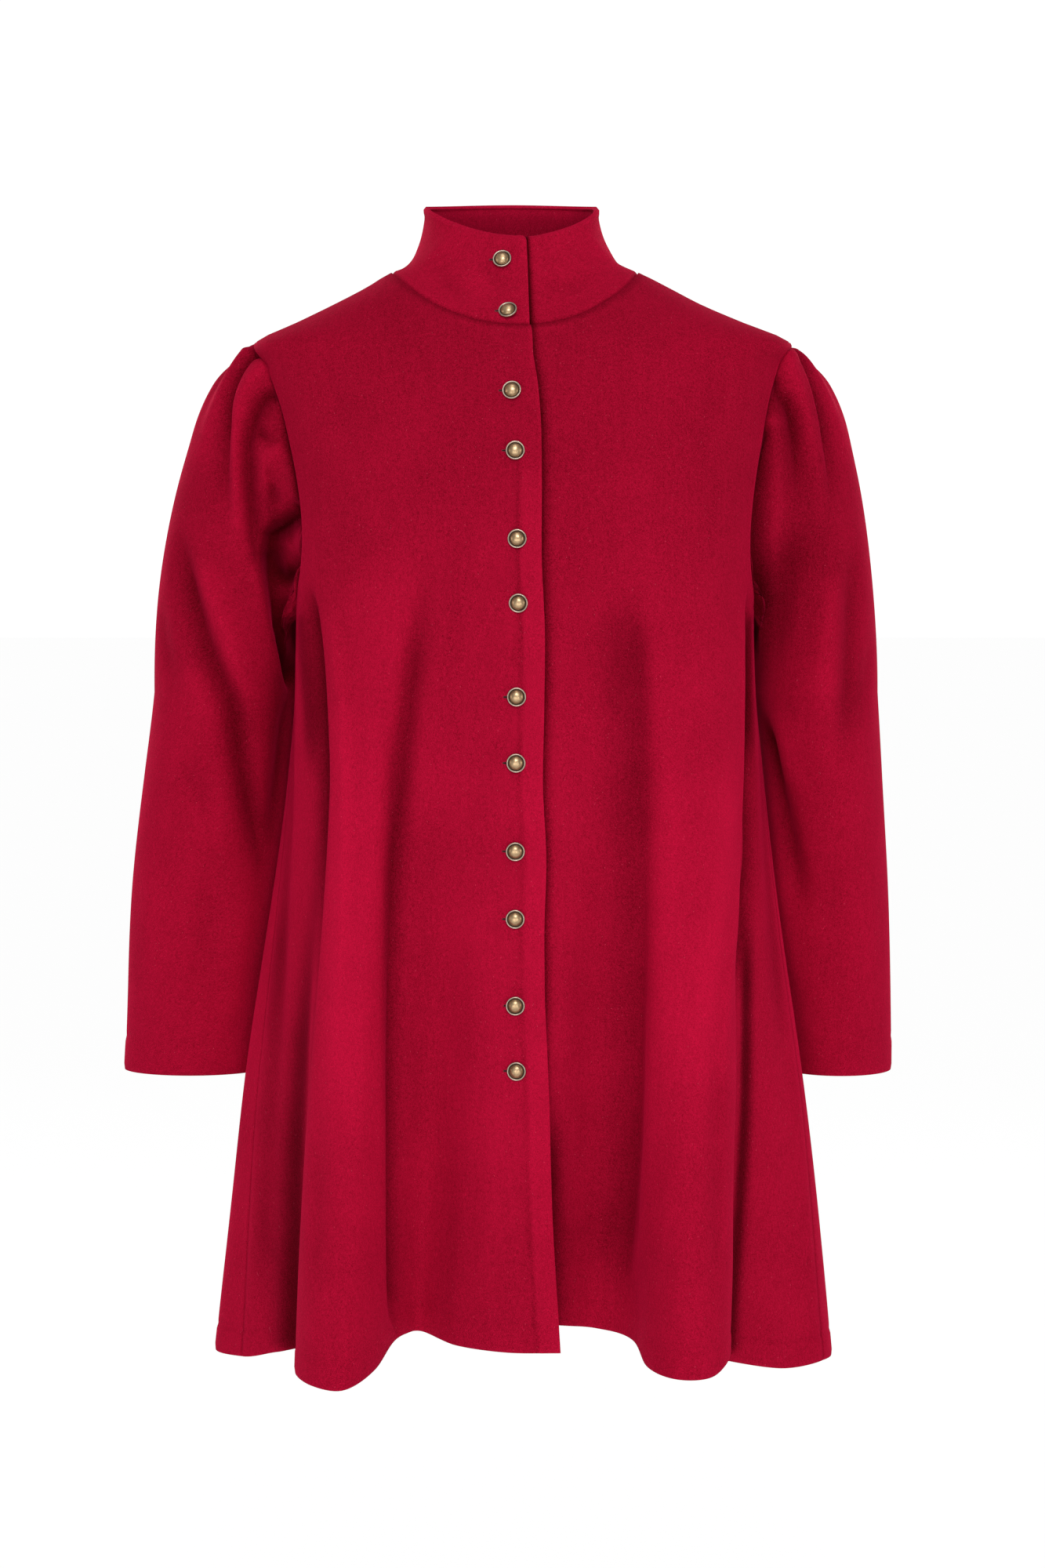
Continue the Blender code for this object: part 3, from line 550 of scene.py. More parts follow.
# way over the cloth (bearing, height), width, depth, ridge beside it and its side,
# sharpness, fade in and out
bodyCreases = (
    # the front turns back at the armpit and falls as one long edge, on both sides
    (((293, -240), (297, -290), (300, -354), (301.5, -400), (302, -480), (302, -560), (302, -680), (301, -800)),
     (20, 6), 11, 0, 1, 1.9, 0.1, 0.6),
    (((302, -250), (305, -300), (308, -360), (309.5, -430), (310, -540), (310, -700)),
     7, -2.6, 0, 1, 2.0, 0.2, 0.4),
    (((71.5, -240), (74, -330), (75, -399), (76, -465), (69, -573), (66.5, -663), (66, -780)),
     (6, 11), 10, 0, 1, 1.9, 0.1, 0.4),
    (((66, -250), (68, -340), (69, -440), (61, -570), (59, -700)), 7, -2.6, 0, 1, 2.0, 0.2, 0.4),
    # the sleeve lies against the side here and presses it in a little
    (((255, -284), (257, -330), (259, -385)), 17, 5.5, 0, 1, 2.0, 0.2, 0.5),
    (((105, -284), (103, -330), (101, -385)), 17, 5.5, 0, 1, 2.0, 0.2, 0.5),
    # the valley on each side of the opening: steep beside the cone, easy towards the edge
    (((331, -216), (327, -276), (324, -336), (322, -396), (323, -513), (324.5, -633), (326, -753), (328, -815)),
     (8, 12), 8, 0, 1, 1.8, 0.25, 0.1),
    (((32, -240), (34.5, -290), (35.5, -350), (35.5, -453), (35, -573), (33, -696), (30.5, -806)),
     (30, 8), 6.8, 0, 1, 1.8, 0.2, 0.1),
    (((318, -300), (316, -400), (315, -520), (315, -640), (315, -760)), 13, -2.6, 0, 1, 2.0, 0.3, 0.4),
    (((42, -320), (44, -430), (45, -560), (45, -700)), 13, -2.8, 0, 1, 2.0, 0.3, 0.4),
    (((342, -560), (342, -680), (343, -800), (344, -824)), 12, 0.8, 0, 1, 2.0, 0.5, 0.0),
    (((352, -560), (352, -690), (351, -800)), 10, -1.4, 0, 1, 2.0, 0.5, 0.2),
    (((11, -600), (12, -700), (13, -812)), (7, 12), 4.5, 0, 1, 2.0, 0.5, 0.0),
    (((37, -560), (36, -680), (35, -780)), 6, 1.6, 1.2, 1, 1.8, 0.5, 0.3),
    (((58, -540), (58, -670), (59, -800)), 10, 2.2, 0, 1, 2.0, 0.4, 0.3),
    (((307, -600), (308, -700), (309, -790)), 10, 2.0, 0, 1, 2.0, 0.4, 0.3),
    # short sharp creases in the hem by the opening and beside the right fold
    (((325, -785), (327, -803), (329, -818)), 4, 1.6, 0.8, 1, 1.6, 0.4, 0.0),
    (((334, -790), (334, -806), (335, -820)), 4, 1.2, 0.6, -1, 1.6, 0.4, 0.0),
    (((359.5, -700), (360, -745), (360, -790)), 3.5, 0.9, 0.4, 1, 1.7, 0.3, 0.3),
    # drag lines from the shoulder and across the chest
    (((300, -74), (306, -110), (311, -160)), 9, 0.9, 0, 1, 2.0, 0.3, 0.6),
    (((62, -76), (55, -112), (50, -165)), 9, 0.9, 0, 1, 2.0, 0.3, 0.6),
    (((11, -52), (16, -58), (24, -66), (34, -78)), 4, 0.8, 0.3, 1, 1.8, 0.0, 0.6),
    (((338, -180), (338, -270), (340, -370)), 13, 0.8, 0, 1, 2.0, 0.4, 0.5),
    (((28, -200), (27, -300), (28, -400)), 13, 0.9, 0, 1, 2.0, 0.4, 0.5),
    # the side panels fold in behind the front folds
    (((276, -300), (278, -420), (280, -560), (281, -700)), 11, 2.2, 0, 1, 2.0, 0.4, 0.4),
    (((85, -300), (85, -430), (85, -570), (85, -720)), 11, 2.0, 0, 1, 2.0, 0.4, 0.4),
    (((99, -330), (101, -480), (102, -640), (102, -800)), 10, 1.8, 0, 1, 2.0, 0.4, 0.2),
    (((261, -340), (260, -490), (259, -650), (259, -800)), 10, 1.8, 0, 1, 2.0, 0.4, 0.2),
    # the back: the same edges behind the armpits, and soft hang lines
    (((108, -255), (112, -340), (116, -440), (119, -560)), 14, 6.5, 0, 1, 2.0, 0.2, 0.6),
    (((252, -255), (249, -335), (245, -440), (241, -570)), 14, 6.0, 0, 1, 2.0, 0.2, 0.6),
    (((123, -300), (127, -420), (130, -560)), 12, -2.2, 0, 1, 2.0, 0.3, 0.5),
    (((238, -290), (233, -420), (230, -560)), 12, -2.2, 0, 1, 2.0, 0.3, 0.5),
    (((150, -330), (150, -460), (151, -620)), 15, 2.4, 0, 1, 2.0, 0.5, 0.4),
    (((211, -350), (210, -480), (209, -640)), 15, 2.2, 0, 1, 2.0, 0.5, 0.4),
    (((180, -360), (180, -500), (180, -660)), 14, 1.8, 0, 1, 2.0, 0.5, 0.4),
    (((165, -420), (165, -560), (166, -720)), 12, -1.6, 0, 1, 2.0, 0.5, 0.4),
    (((195, -400), (195, -560), (194, -720)), 12, -1.8, 0, 1, 2.0, 0.5, 0.4),
    (((120, -80), (128, -120), (134, -175)), 9, 0.9, 0, 1, 2.0, 0.3, 0.6),
    (((240, -78), (233, -118), (227, -170)), 9, 0.9, 0, 1, 2.0, 0.3, 0.6),
    (((172, -12), (176, -30), (182, -34), (188, -14)), 7, 0.7, 0, 1, 2.0, 0.3, 0.3),
    (((146, -800), (148, -822), (149, -842)), 4, 1.3, 0.6, 1, 1.7, 0.4, 0.0),
    (((214, -795), (212, -820), (211, -842)), 4, 1.2, 0.6, -1, 1.7, 0.4, 0.0),
)


# painted shade in the deepest places: way, width, how much, fade in and out
bodyShades = (
    (((297, -420), (295, -520), (292, -600), (289, -700), (287, -835)), (20, 10), 0.95, 0.5, 0.0),
    (((297, -270), (299, -340), (300, -420), (299, -520)), (14, 5), 0.25, 0.3, 0.3),
    (((76.5, -480), (75, -580), (74.5, -700), (74, -835)), (5, 8), 1.1, 0.3, 0.0),
    (((284, -262), (290, -330), (293, -400)), (9, 12), 0.6, 0.1, 0.4),
    (((77, -262), (77, -330), (78, -400)), (10, 9), 0.7, 0.1, 0.4),
    (((327, -300), (324, -380), (322, -440), (321.5, -513), (322.5, -633), (324.5, -753), (327, -815)),
     (5, 9), 0.22, 0.3, 0.1),
    (((9, -640), (10, -700), (11, -813)), (5, 9), 0.6, 0.4, 0.0),
    (((333, -380), (332, -480), (332, -600), (332, -700)), (14, 16), 0.2, 0.3, 0.3),
    (((275, -420), (276, -560), (277, -700), (277, -820)), (16, 18), 0.3, 0.3, 0.2),
    (((272, -290), (274, -400), (275, -540), (275, -640)), (20, 24), 0.3, 0.3, 0.4),
    (((88, -290), (86, -400), (85, -540), (85, -640)), (24, 20), 0.3, 0.3, 0.4),
    # and painted highlights along the crests, where the amount is below 0
    (((306, -330), (308, -440), (309, -560), (309, -700)), (14, 20), -0.35, 0.3, 0.3),
    (((62, -330), (62, -440), (55, -560), (53, -680)), (20, 14), -0.35, 0.3, 0.3),
    (((322, -200), (320, -300), (316, -400)), (26, 22), -0.22, 0.4, 0.4),
)


def shadeOf(points, normals, surface, shades):
    rows = [(way, width, much / 0.065, 0, 1, 2.0, *fades) for way, width, much, *fades in shades]
    return pressCreases(points, normals, surface, rows)[1]


edging = {
    "facing": 17,  # the front edges are pressed over this width
    "facingFrom": -120,  # and show it below this height
    "hemTurn": 20,
    "cuffTurn": 26,
}


def bodyPanel(name, spec):
    first, last = spec["edges"]
    columns = panelColumns(first, last, spec["columns"], spec["closeTo"])
    bearings, heights = panelGrid(columns, *spec["sides"])
    shape = bearings.shape + (3,)
    points = clothAt(bearings, heights).reshape(shape)
    normals = gridNormals(points)
    rise, tone = pressCreases(points, normals, clothAt, bodyCreases)
    tone = tone + shadeOf(points, normals, clothAt, bodyShades)
    hem = edgeDistance(points, None, -1)
    neck = edgeDistance(points, None, 0)
    calm = smooth(neck / 60) * (0.35 + 0.65 * smooth((-heights - 60) / 400))
    for edge, column in ((spec["sides"][0], 0), (spec["sides"][1], -1)):
        away = edgeDistance(points, column, None)
        calm = calm * smooth(away / 45)
        if edge is None:  # a front edge: a pressed facing, painted lighter where it stands proud (painted highlight)
            lower = smooth((edging["facingFrom"] - heights) / 80)
            strip = smooth((edging["facing"] - away) / 2.5) * lower
            rise = rise + 0.65 * strip - 0.9 * (1 - smooth(away / 1.8))
            # painted highlight over the raised strip and along the edge itself
            tone = tone + 0.22 * strip + 0.25 * np.exp(-away / 1.6)
            # painted shadow line where the strip ends
            tone = tone - 0.16 * lower * np.exp(-(((away - edging["facing"] - 1.5) / 2) ** 2))
        else:  # a sewn side: rolled under along the armhole, a fine valley along the seam
            beside = armholeZone(heights)
            rise = rise + seamRoll(away, 0.9, 2.6) * beside
            fine = np.exp(-((away / 2.2) ** 1.6))
            rise = rise - 0.55 * fine * (1 - beside)
            # painted shade in the seam and a painted highlight on the swell beside it
            tone = tone - 0.3 * np.exp(-((away / 1.6) ** 2)) + 0.1 * np.exp(-(((away - 4) / 2) ** 2))
    if name == "front_left":  # the shaded line under the upper edge
        past = (bearings - 366 + 360) * np.radians(1) * 130 - curveThrough(
            *np.array(sorted(body["edgeSway"]), float).T, heights.ravel()).reshape(heights.shape)
        tone = tone - 0.8 * np.exp(-((np.clip(past - 0.5, 0, None) / 4.0) ** 1.3)) * smooth((past + 3) / 3)
    rise = rise + drift(points, spec["seed"], spec["drift"]) * calm
    turned = hem - edging["hemTurn"]
    rise = rise + 0.45 * smooth(-turned / 3) - 0.35 * np.exp(-(((turned - 0.5) / 2.2) ** 2))
    rise = rise - 0.7 * (1 - smooth(hem / 1.6))
    # painted shade along the hem's turn line and a painted highlight on its very edge
    tone = tone - 0.08 * np.exp(-(((turned - 0.5) / 2) ** 2)) + 0.14 * np.exp(-hem / 2.0)
    # painted light: darker at the chest and shoulders, lighter down the skirt, a little darker again near the
    # hem
    tone = tone + 0.3 * (smooth((-heights - 60) / 440) - 0.5) - 0.12 * smooth((-heights - 620) / 200)
    proud = 0.3 + 2.6 * np.sin(np.radians(bearings)) ** 4
    rise = rise - 0.8 * np.exp(-((neck / 1.3) ** 1.6)) + proud * np.exp(-(((neck - 4) / 3) ** 2))
    # painted shade in the neck seam and a painted highlight on the swell beside it
    tone = tone - 0.3 * np.exp(-((neck / 1.6) ** 2)) + 0.1 * np.exp(-(((neck - 4) / 2) ** 2))
    points = points + normals * rise[:, :, None]
    reference = spec["reference"] % points.shape[1]
    return makeSheet(name + "_cloth", points, tone, body["wall"], name,
                     reference=reference)


sheets = {name: bodyPanel(name, spec) for name, spec in panels.items()}
print("fronts and back made")


collar = {
    "topX": -9, "frontX": 7, "halfWidth": 67.7, "front": 60, "back": 54, "sideHeight": 52,
    "backRise": 6, "frontDip": 27, "knee": (0.45, 0.12), "wall": 3.4,
    "columns": 260, "rows": 34, "flat": (0.64, 0.105), "area": 0.036,
}
# way over the collar (bearing, share of its height), then as on the body
collarCreases = (
    (((356, 0.34), (344, 0.56), (332, 0.78)), 7, 1.5, 0.3, 1, 2.0, 0.3, 0.4),
    (((338, 0.20), (322, 0.36), (306, 0.60)), 7, 1.6, 0.3, 1, 2.0, 0.3, 0.4),
    (((318, 0.95), (306, 0.70), (296, 0.35)), 8, -1.3, 0, 1, 2.0, 0.4, 0.4),
    (((10, 0.52), (28, 0.40), (50, 0.38)), 7, 1.6, 0.3, 1, 2.0, 0.3, 0.5),
    (((52, 0.92), (62, 0.60), (70, 0.30)), 8, -1.3, 0, 1, 2.0, 0.4, 0.4),
    (((292, 0.16), (280, 0.32), (264, 0.46)), 6, 1.5, 0.2, 1, 2.0, 0.3, 0.4),
    (((70, 0.16), (82, 0.34), (98, 0.46)), 6, 1.5, 0.2, 1, 2.0, 0.3, 0.4),
    (((150, 0.55), (180, 0.48), (212, 0.56)), 8, 1.3, 0, 1, 2.0, 0.4, 0.4),
)


def collarTop(bearings):
    sine, cosine = np.sin(np.radians(bearings)), np.cos(np.radians(bearings))
    depth = np.where(cosine > 0, collar["front"], collar["back"])
    full, end = body["lapBearings"]
    reach = ((sine / collar["halfWidth"]) ** 2 + (cosine / depth) ** 2) ** -0.5
    reach = reach - np.clip((end - bearings) / (end - full), 0, 1) * body["lapStep"]
    ahead, behind = np.clip(cosine, 0, 1), np.clip(-cosine, 0, 1)
    middle = collar["topX"] + collar["frontX"] * ahead
    rise = collar["backRise"] * behind - collar["frontDip"] * ahead**1.3
    return np.column_stack([middle + reach * sine, -reach * cosine, collar["sideHeight"] + rise])


def collarAt(bearings, ups):
    bearings, ups = np.asarray(bearings, float).ravel(), np.asarray(ups, float).ravel()
    foot, top = clothAt(bearings, neckHeight(bearings)), collarTop(bearings)
    frontKnee, sideKnee = collar["knee"]
    kneeUp = (frontKnee + (sideKnee - frontKnee) * np.sin(np.radians(bearings)) ** 2)[:, None]
    knee = foot + (top - foot) * np.hstack([1 - kneeUp, 1 - kneeUp, kneeUp])
    t = ups[:, None]
    return foot * (1 - t) ** 2 + knee * 2 * t * (1 - t) + top * t * t


def collarSheet():
    marks = np.linspace(body["underEdge"], body["overEdge"], 1200)
    density = np.ones(len(marks))
    for close in (body["overEdge"] - 360, body["overEdge"]):  # under the over edge, and along it
        density = density + 3.5 * np.exp(-(((marks - close) / 5) ** 2))
    sums = np.cumsum(density) - density[0]
    columns = np.interp(np.linspace(0, sums[-1], collar["columns"] + 1), sums, marks)
    ups = np.linspace(1, 0, collar["rows"] + 1)
    bearings, grid = np.meshgrid(columns, ups)
    bearings = bearings + np.degrees(-3.2 / 95) * smooth((bearings - 352) / 14) * (1 - 0.45 * grid)
    points = collarAt(bearings, grid).reshape(bearings.shape + (3,))
    normals = gridNormals(points)
    rise, tone = pressCreases(points, normals, collarAt, collarCreases)
    foot, top = edgeDistance(points, None, -1), edgeDistance(points, None, 0)
    overEdge, underEdge = edgeDistance(points, -1, None), edgeDistance(points, 0, None)
    calm = smooth(foot / 12) * smooth(top / 10) * smooth(overEdge / 30) * smooth(underEdge / 30)
    rise = rise + drift(points, 5, 0.5) * calm
    rise = rise + 1.1 * np.exp(-(((top - 3.5) / 3) ** 2)) - 1.2 * (1 - smooth(top / 2.2)) ** 2
    rise = rise - 2.2 * (1 - smooth(foot / 4.5)) - 0.5 * (1 - smooth(overEdge / 1.4))
    covered = smooth((26 - bearings % 360) / 14) * (bearings < 180)
    rise = rise + 0.7 * smooth((9 - overEdge) / 3) - 1.2 * covered
    # painted highlights along the top rim and along the over edge
    tone = tone + 0.16 * np.exp(-top / 2.5) + 0.25 * np.exp(-overEdge / 1.6)
    # painted shade in the seam at the foot
    tone = tone - 0.35 * np.exp(-((foot / 1.8) ** 2))
    beyond = (bearings - 4.1 - 0.9 * grid) * np.radians(1) * 75
    # painted light on the back of the collar near its top, where its inside shows
    tone = tone + 0.3 * smooth((24 - top) / 12) * smooth((np.abs(bearings - 180) - 80) / -30)
    # painted shadow on the under part just beyond the over edge
    shaded = np.exp(-((np.clip(beyond, 0, None) / 2.6) ** 1.5)) * smooth((beyond + 3) / 2)
    tone = tone - 1.5 * shaded * (bearings < 90)
    points = points + normals * rise[:, :, None]
    corner = 1 - np.clip(overEdge / 5, 0, 1)
    points[:, :, 2] -= 4.5 * (1 - np.sqrt(1 - np.clip(corner, 0, 0.995) ** 2)) * smooth((grid - 0.7) / 0.3)
    return makeSheet("collar_cloth", points, tone, collar["wall"], "collar",
                     reference=collar["columns"] // 2)


sheets["collar"] = collarSheet()
print("collar made")


sleeves = {
    "sleeve_right": {
        "out": -1, "seed": 51, "flat": (0.46, 0.63), "area": 0.205,
        # height, outer x, inner x, y, half depth
        "rings": ((-330, 295, 181.5, 31, 68), (-400, 304, 186, 41, 65), (-480, 315, 193, 52, 60),
                  (-638, 324, 210, 71, 49)),
    },
    "sleeve_left": {
        "out": 1, "seed": 67, "flat": (0.45, 0.63), "area": 0.190,
        "rings": ((-330, 283.5, 186, 31, 68), (-400, 288.5, 192, 41, 65), (-480, 294.5, 196, 52, 60),
                  (-638, 300, 211, 71, 51)),
    },
}
sleeveHead = {"gather": 2.8, "reach": (54, 8), "fall": (112, 24), "slope": 0.35, "sideways": 0.35}
sleeveGrid = {"columns": 264, "headRows": 106, "armRows": 68}

# way over the sleeve: degrees from its outside round by the front, and the share
# of the head (0 to 1) or of the arm (1 to 2). The rest is as on the body.
sleeveCreases = {
    "sleeve_right": (
        # the pleats of the head, in front
        (((86, 0.0), (82, 0.12), (80, 0.25), (85, 0.34), (91, 0.48), (94, 0.62)),
         (9, 3.6), 8.5, 0, 1, 1.5, 0.0, 0.5),
        (((99, 0.02), (94, 0.14), (91, 0.25), (92, 0.34), (98, 0.46), (103, 0.58), (112, 0.72)),
         7, -4.5, 0, 1, 2.0, 0.0, 0.5),
        (((113, 0.0), (108, 0.12), (103, 0.24), (101, 0.33), (106, 0.42), (113, 0.5), (120, 0.58), (127, 0.68)),
         (3.8, 10), 8.0, 0, 1, 1.5, 0.0, 0.35),
        (((128, 0.06), (126, 0.2), (120, 0.34), (119, 0.44)), 9, -3.0, 0, 1, 2.0, 0.2, 0.4),
        (((148, 0.03), (147, 0.2), (139, 0.36), (130, 0.47), (132, 0.57), (143, 0.66), (152, 0.74), (160, 0.85), (168, 0.95)),
         (5, 12), 14.0, 0, 1, 1.6, 0.08, 0.1),
        (((156, 0.62), (158, 0.7), (162, 0.8)), 9, -3.0, 0, 1, 2.0, 0.2, 0.3),
        (((105, 0.28), (113, 0.25), (121, 0.2), (134, 0.03)), (3, 6), 4.0, 1.2, -1, 1.5, 0.25, 0.1),
        (((120, 0.28), (126, 0.32), (134, 0.36)), (3, 6), 3.0, 0, 1, 1.6, 0.3, 0.3),
        (((127, 0.49), (138, 0.36), (150, 0.09)), (3, 6), 5.0, 1.0, -1, 1.5, 0.1, 0.15),
        (((126, 0.53), (138, 0.53), (150, 0.46), (164, 0.05)), (3.5, 6), 7.0, 2.0, -1, 1.5, 0.1, 0.05),
        (((66, 0.04), (60, 0.2), (58, 0.38), (62, 0.55)), 11, -3.4, 0, 1, 2.0, 0.1, 0.5),
        (((40, 0.02), (36, 0.15), (36, 0.3), (40, 0.48)), 9, 3.6, 0, 1, 1.9, 0.0, 0.6),
        (((12, 0.1), (18, 0.27), (36, 0.42), (46, 0.56)), 15, -3.4, 0, 1, 2.0, 0.3, 0.5),
        # the elbow: one long soft crease with a lit ridge on its inner side
        (((38, 0.60), (55, 0.69), (71, 0.78), (81, 0.85), (95, 0.95), (107, 1.06), (119, 1.22), (134, 1.38), (148, 1.56)),
         (14, 9), 9.0, 0, 1, 1.7, 0.2, 0.2),
        (((66, 0.64), (84, 0.74), (98, 0.84), (110, 0.97), (118, 1.08)), 10, -4.2, 0, 1, 2.0, 0.25, 0.4),
        (((62, 0.90), (80, 1.02), (96, 1.16)), 13, -2.6, 0, 1, 2.0, 0.3, 0.4),
        (((20, 0.78), (40, 0.9), (58, 1.02)), 12, 2.8, 0, 1, 2.0, 0.3, 0.5),
        (((58, 1.14), (78, 1.24), (96, 1.36)), 14, 2.6, 0, 1, 2.0, 0.4, 0.5),
        (((166, 0.96), (156, 1.12), (150, 1.3), (146, 1.5)), 12, 6.0, 0, 1, 2.0, 0.3, 0.4),
        (((96, 1.36), (94, 1.6), (94, 1.86)), 14, 1.8, 0, 1, 2.0, 0.4, 0.4),
        (((124, 1.5), (122, 1.7), (120, 1.92)), 13, -1.8, 0, 1, 2.0, 0.4, 0.3),
        (((46, 1.4), (48, 1.6), (50, 1.86)), 14, -1.6, 0, 1, 2.0, 0.4, 0.4),
        # and the like behind
        (((274, 0.0), (280, 0.14), (282, 0.28), (276, 0.42), (270, 0.58)), (6, 8), 8.4, 0, 1, 1.6, 0.0, 0.5),
        (((262, 0.02), (267, 0.16), (269, 0.3), (264, 0.44), (257, 0.6)), 7, -4.2, 0, 1, 2.0, 0.0, 0.5),
        (((248, 0.0), (255, 0.14), (257, 0.28), (252, 0.42), (245, 0.58)), (9, 6), 7.6, 0, 1, 1.6, 0.0, 0.4),
        (((296, 0.03), (300, 0.2), (300, 0.38), (296, 0.54)), 11, -3.2, 0, 1, 2.0, 0.1, 0.5),
        (((322, 0.02), (326, 0.18), (324, 0.36), (318, 0.5)), 9, 3.4, 0, 1, 1.9, 0.0, 0.6),
        (((212, 0.05), (218, 0.3), (228, 0.46), (226, 0.6), (212, 0.8)),
         (10, 9), 10.0, 0, 1, 1.7, 0.12, 0.35),
        (((232, 0.1), (238, 0.3), (240, 0.46)), 9, -3.0, 0, 1, 2.0, 0.2, 0.4),
        (((312, 0.58), (296, 0.7), (280, 0.82), (264, 0.96), (246, 1.16)),
         (9, 13), 7.0, 0, 1, 1.8, 0.25, 0.4),
        (((286, 0.64), (270, 0.76), (256, 0.9), (242, 1.06)), 10, -3.6, 0, 1, 2.0, 0.25, 0.4),
        (((330, 0.84), (306, 0.98), (284, 1.1)), 12, 3.0, 0, 1, 2.0, 0.3, 0.5),
        (((214, 1.12), (238, 1.26), (262, 1.4)), 13, 2.8, 0, 1, 2.0, 0.4, 0.5),
        (((272, 1.42), (272, 1.64), (272, 1.88)), 14, 1.8, 0, 1, 2.0, 0.4, 0.4),
        (((196, 0.45), (192, 0.65), (189, 0.85), (187, 1.0), (186, 1.16)), 20, -8.0, 0, 1, 2.0, 0.1, 0.5),
    ),
    "sleeve_left": (
        (((66, 0.0), (75, 0.1), (75, 0.22), (75, 0.34), (77, 0.46), (80, 0.6)),
         (3.6, 9), 8.2, 0, 1, 1.5, 0.0, 0.5),
        (((88, 0.02), (93, 0.11), (92, 0.3), (90, 0.43), (91, 0.61)), 7.5, -4.4, 0, 1, 2.0, 0.0, 0.5),
        (((106, 0.0), (109, 0.08), (104, 0.2), (103, 0.3), (107, 0.4), (112, 0.54)),
         (9, 3.8), 7.0, 0, 1, 1.5, 0.0, 0.5),
        (((119, 0.03), (127, 0.16), (132, 0.28), (138, 0.42), (142, 0.56)), 8, -4.0, 0, 1, 2.0, 0.1, 0.4),
        (((124, 0.0), (136, 0.14), (144, 0.24), (151, 0.36), (156, 0.5), (160, 0.62)),
         (13, 8), 11.0, 0, 1, 1.7, 0.08, 0.4),
        (((162, 0.0), (162, 0.16), (166, 0.3)), 6, -2.6, 0, 1, 2.0, 0.1, 0.4),
        (((54, 0.04), (52, 0.2), (52, 0.36), (56, 0.52)), 11, -3.2, 0, 1, 2.0, 0.1, 0.5),
        (((34, 0.02), (32, 0.15), (32, 0.3), (36, 0.46)), 9, 3.4, 0, 1, 1.9, 0.0, 0.6),
        (((12, 0.12), (16, 0.27), (34, 0.42), (44, 0.56)), 15, -3.2, 0, 1, 2.0, 0.3, 0.5),
        (((112, 0.46), (124, 0.6), (136, 0.76), (150, 0.92)), 11, 4.6, 0, 1, 2.0, 0.3, 0.5),
        (((46, 0.62), (58, 0.76), (62, 0.92), (68, 1.08), (82, 1.24)), 12, 5.0, 0, 1, 1.9, 0.3, 0.4),
        (((74, 0.66), (84, 0.8), (88, 0.96), (94, 1.1)), 12, -3.4, 0, 1, 2.0, 0.3, 0.4),
        (((160, 1.04), (154, 1.14), (146, 1.24), (130, 1.42), (114, 1.62)),
         (10, 13), 8.0, 0, 1, 1.9, 0.25, 0.3),
        (((144, 1.0), (130, 1.16), (116, 1.3)), 12, -2.8, 0, 1, 2.0, 0.3, 0.4),
        (((28, 0.84), (44, 1.0), (56, 1.14)), 12, 2.6, 0, 1, 2.0, 0.3, 0.5),
        (((150, 1.4), (140, 1.6), (134, 1.8)), 12, -2.0, 0, 1, 2.0, 0.4, 0.4),
        (((86, 1.38), (88, 1.6), (90, 1.86)), 14, 1.8, 0, 1, 2.0, 0.4, 0.4),
        (((58, 1.36), (56, 1.6), (56, 1.86)), 14, -1.6, 0, 1, 2.0, 0.4, 0.4),
        (((272, 0.0), (279, 0.14), (281, 0.28), (275, 0.42), (269, 0.58)), (8, 6), 8.4, 0, 1, 1.6, 0.0, 0.5),
        (((260, 0.02), (266, 0.16), (268, 0.3), (263, 0.44), (256, 0.6)), 7, -4.2, 0, 1, 2.0, 0.0, 0.5),
        (((246, 0.0), (254, 0.14), (256, 0.28), (251, 0.42), (244, 0.58)), (6, 9), 7.6, 0, 1, 1.6, 0.0, 0.4),
        (((296, 0.03), (299, 0.2), (299, 0.38), (295, 0.54)), 11, -3.2, 0, 1, 2.0, 0.1, 0.5),
        (((320, 0.02), (324, 0.18), (322, 0.36), (316, 0.5)), 9, 3.4, 0, 1, 1.9, 0.0, 0.6),
        (((214, 0.05), (219, 0.3), (228, 0.46), (225, 0.6), (213, 0.8)), (9, 10), 9.5, 0, 1, 1.7, 0.12, 0.35),
        (((232, 0.1), (238, 0.3), (240, 0.46)), 9, -3.0, 0, 1, 2.0, 0.2, 0.4),
        (((314, 0.6), (298, 0.72), (282, 0.84), (264, 0.98), (246, 1.18)),
         (13, 9), 6.6, 0, 1, 1.8, 0.25, 0.4),
        (((288, 0.66), (272, 0.78), (256, 0.92), (242, 1.08)), 10, -3.4, 0, 1, 2.0, 0.25, 0.4),
        (((328, 0.86), (306, 1.0), (284, 1.12)), 12, 2.8, 0, 1, 2.0, 0.3, 0.5),
        (((212, 1.14), (236, 1.28), (260, 1.42)), 13, 2.8, 0, 1, 2.0, 0.4, 0.5),
        (((270, 1.42), (271, 1.64), (272, 1.88)), 14, 1.8, 0, 1, 2.0, 0.4, 0.4),
        (((196, 0.45), (192, 0.65), (189, 0.85), (187, 1.0), (186, 1.16)), 20, -8.0, 0, 1, 2.0, 0.1, 0.5),
    ),
}

# painted shade in the deep places on each sleeve: way, width, how much, fade in and out
sleeveShades = {
    "sleeve_right": (
        (((138, 0.72), (146, 0.9), (146, 1.05), (146, 1.2), (146, 1.4)), (16, 16), 0.5, 0.3, 0.4),
        (((140, 0.5), (152, 0.44), (164, 0.2)), (5, 6), 0.5, 0.2, 0.1),
        (((164, 0.45), (172, 0.62), (176, 0.85), (178, 1.0)), (14, 14), 0.8, 0.2, 0.3),
        (((128, 0.3), (126, 0.36), (134, 0.44)), (4, 6), 0.3, 0.2, 0.2),
    ),
    "sleeve_left": (
        (((92, 0.15), (96, 0.5), (92, 1.1)), (20, 20), 0.2, 0.2, 0.3),
        (((150, 0.3), (162, 0.5), (166, 0.75), (166, 1.0), (162, 1.3)), (12, 12), 0.55, 0.2, 0.3),
    ),
}


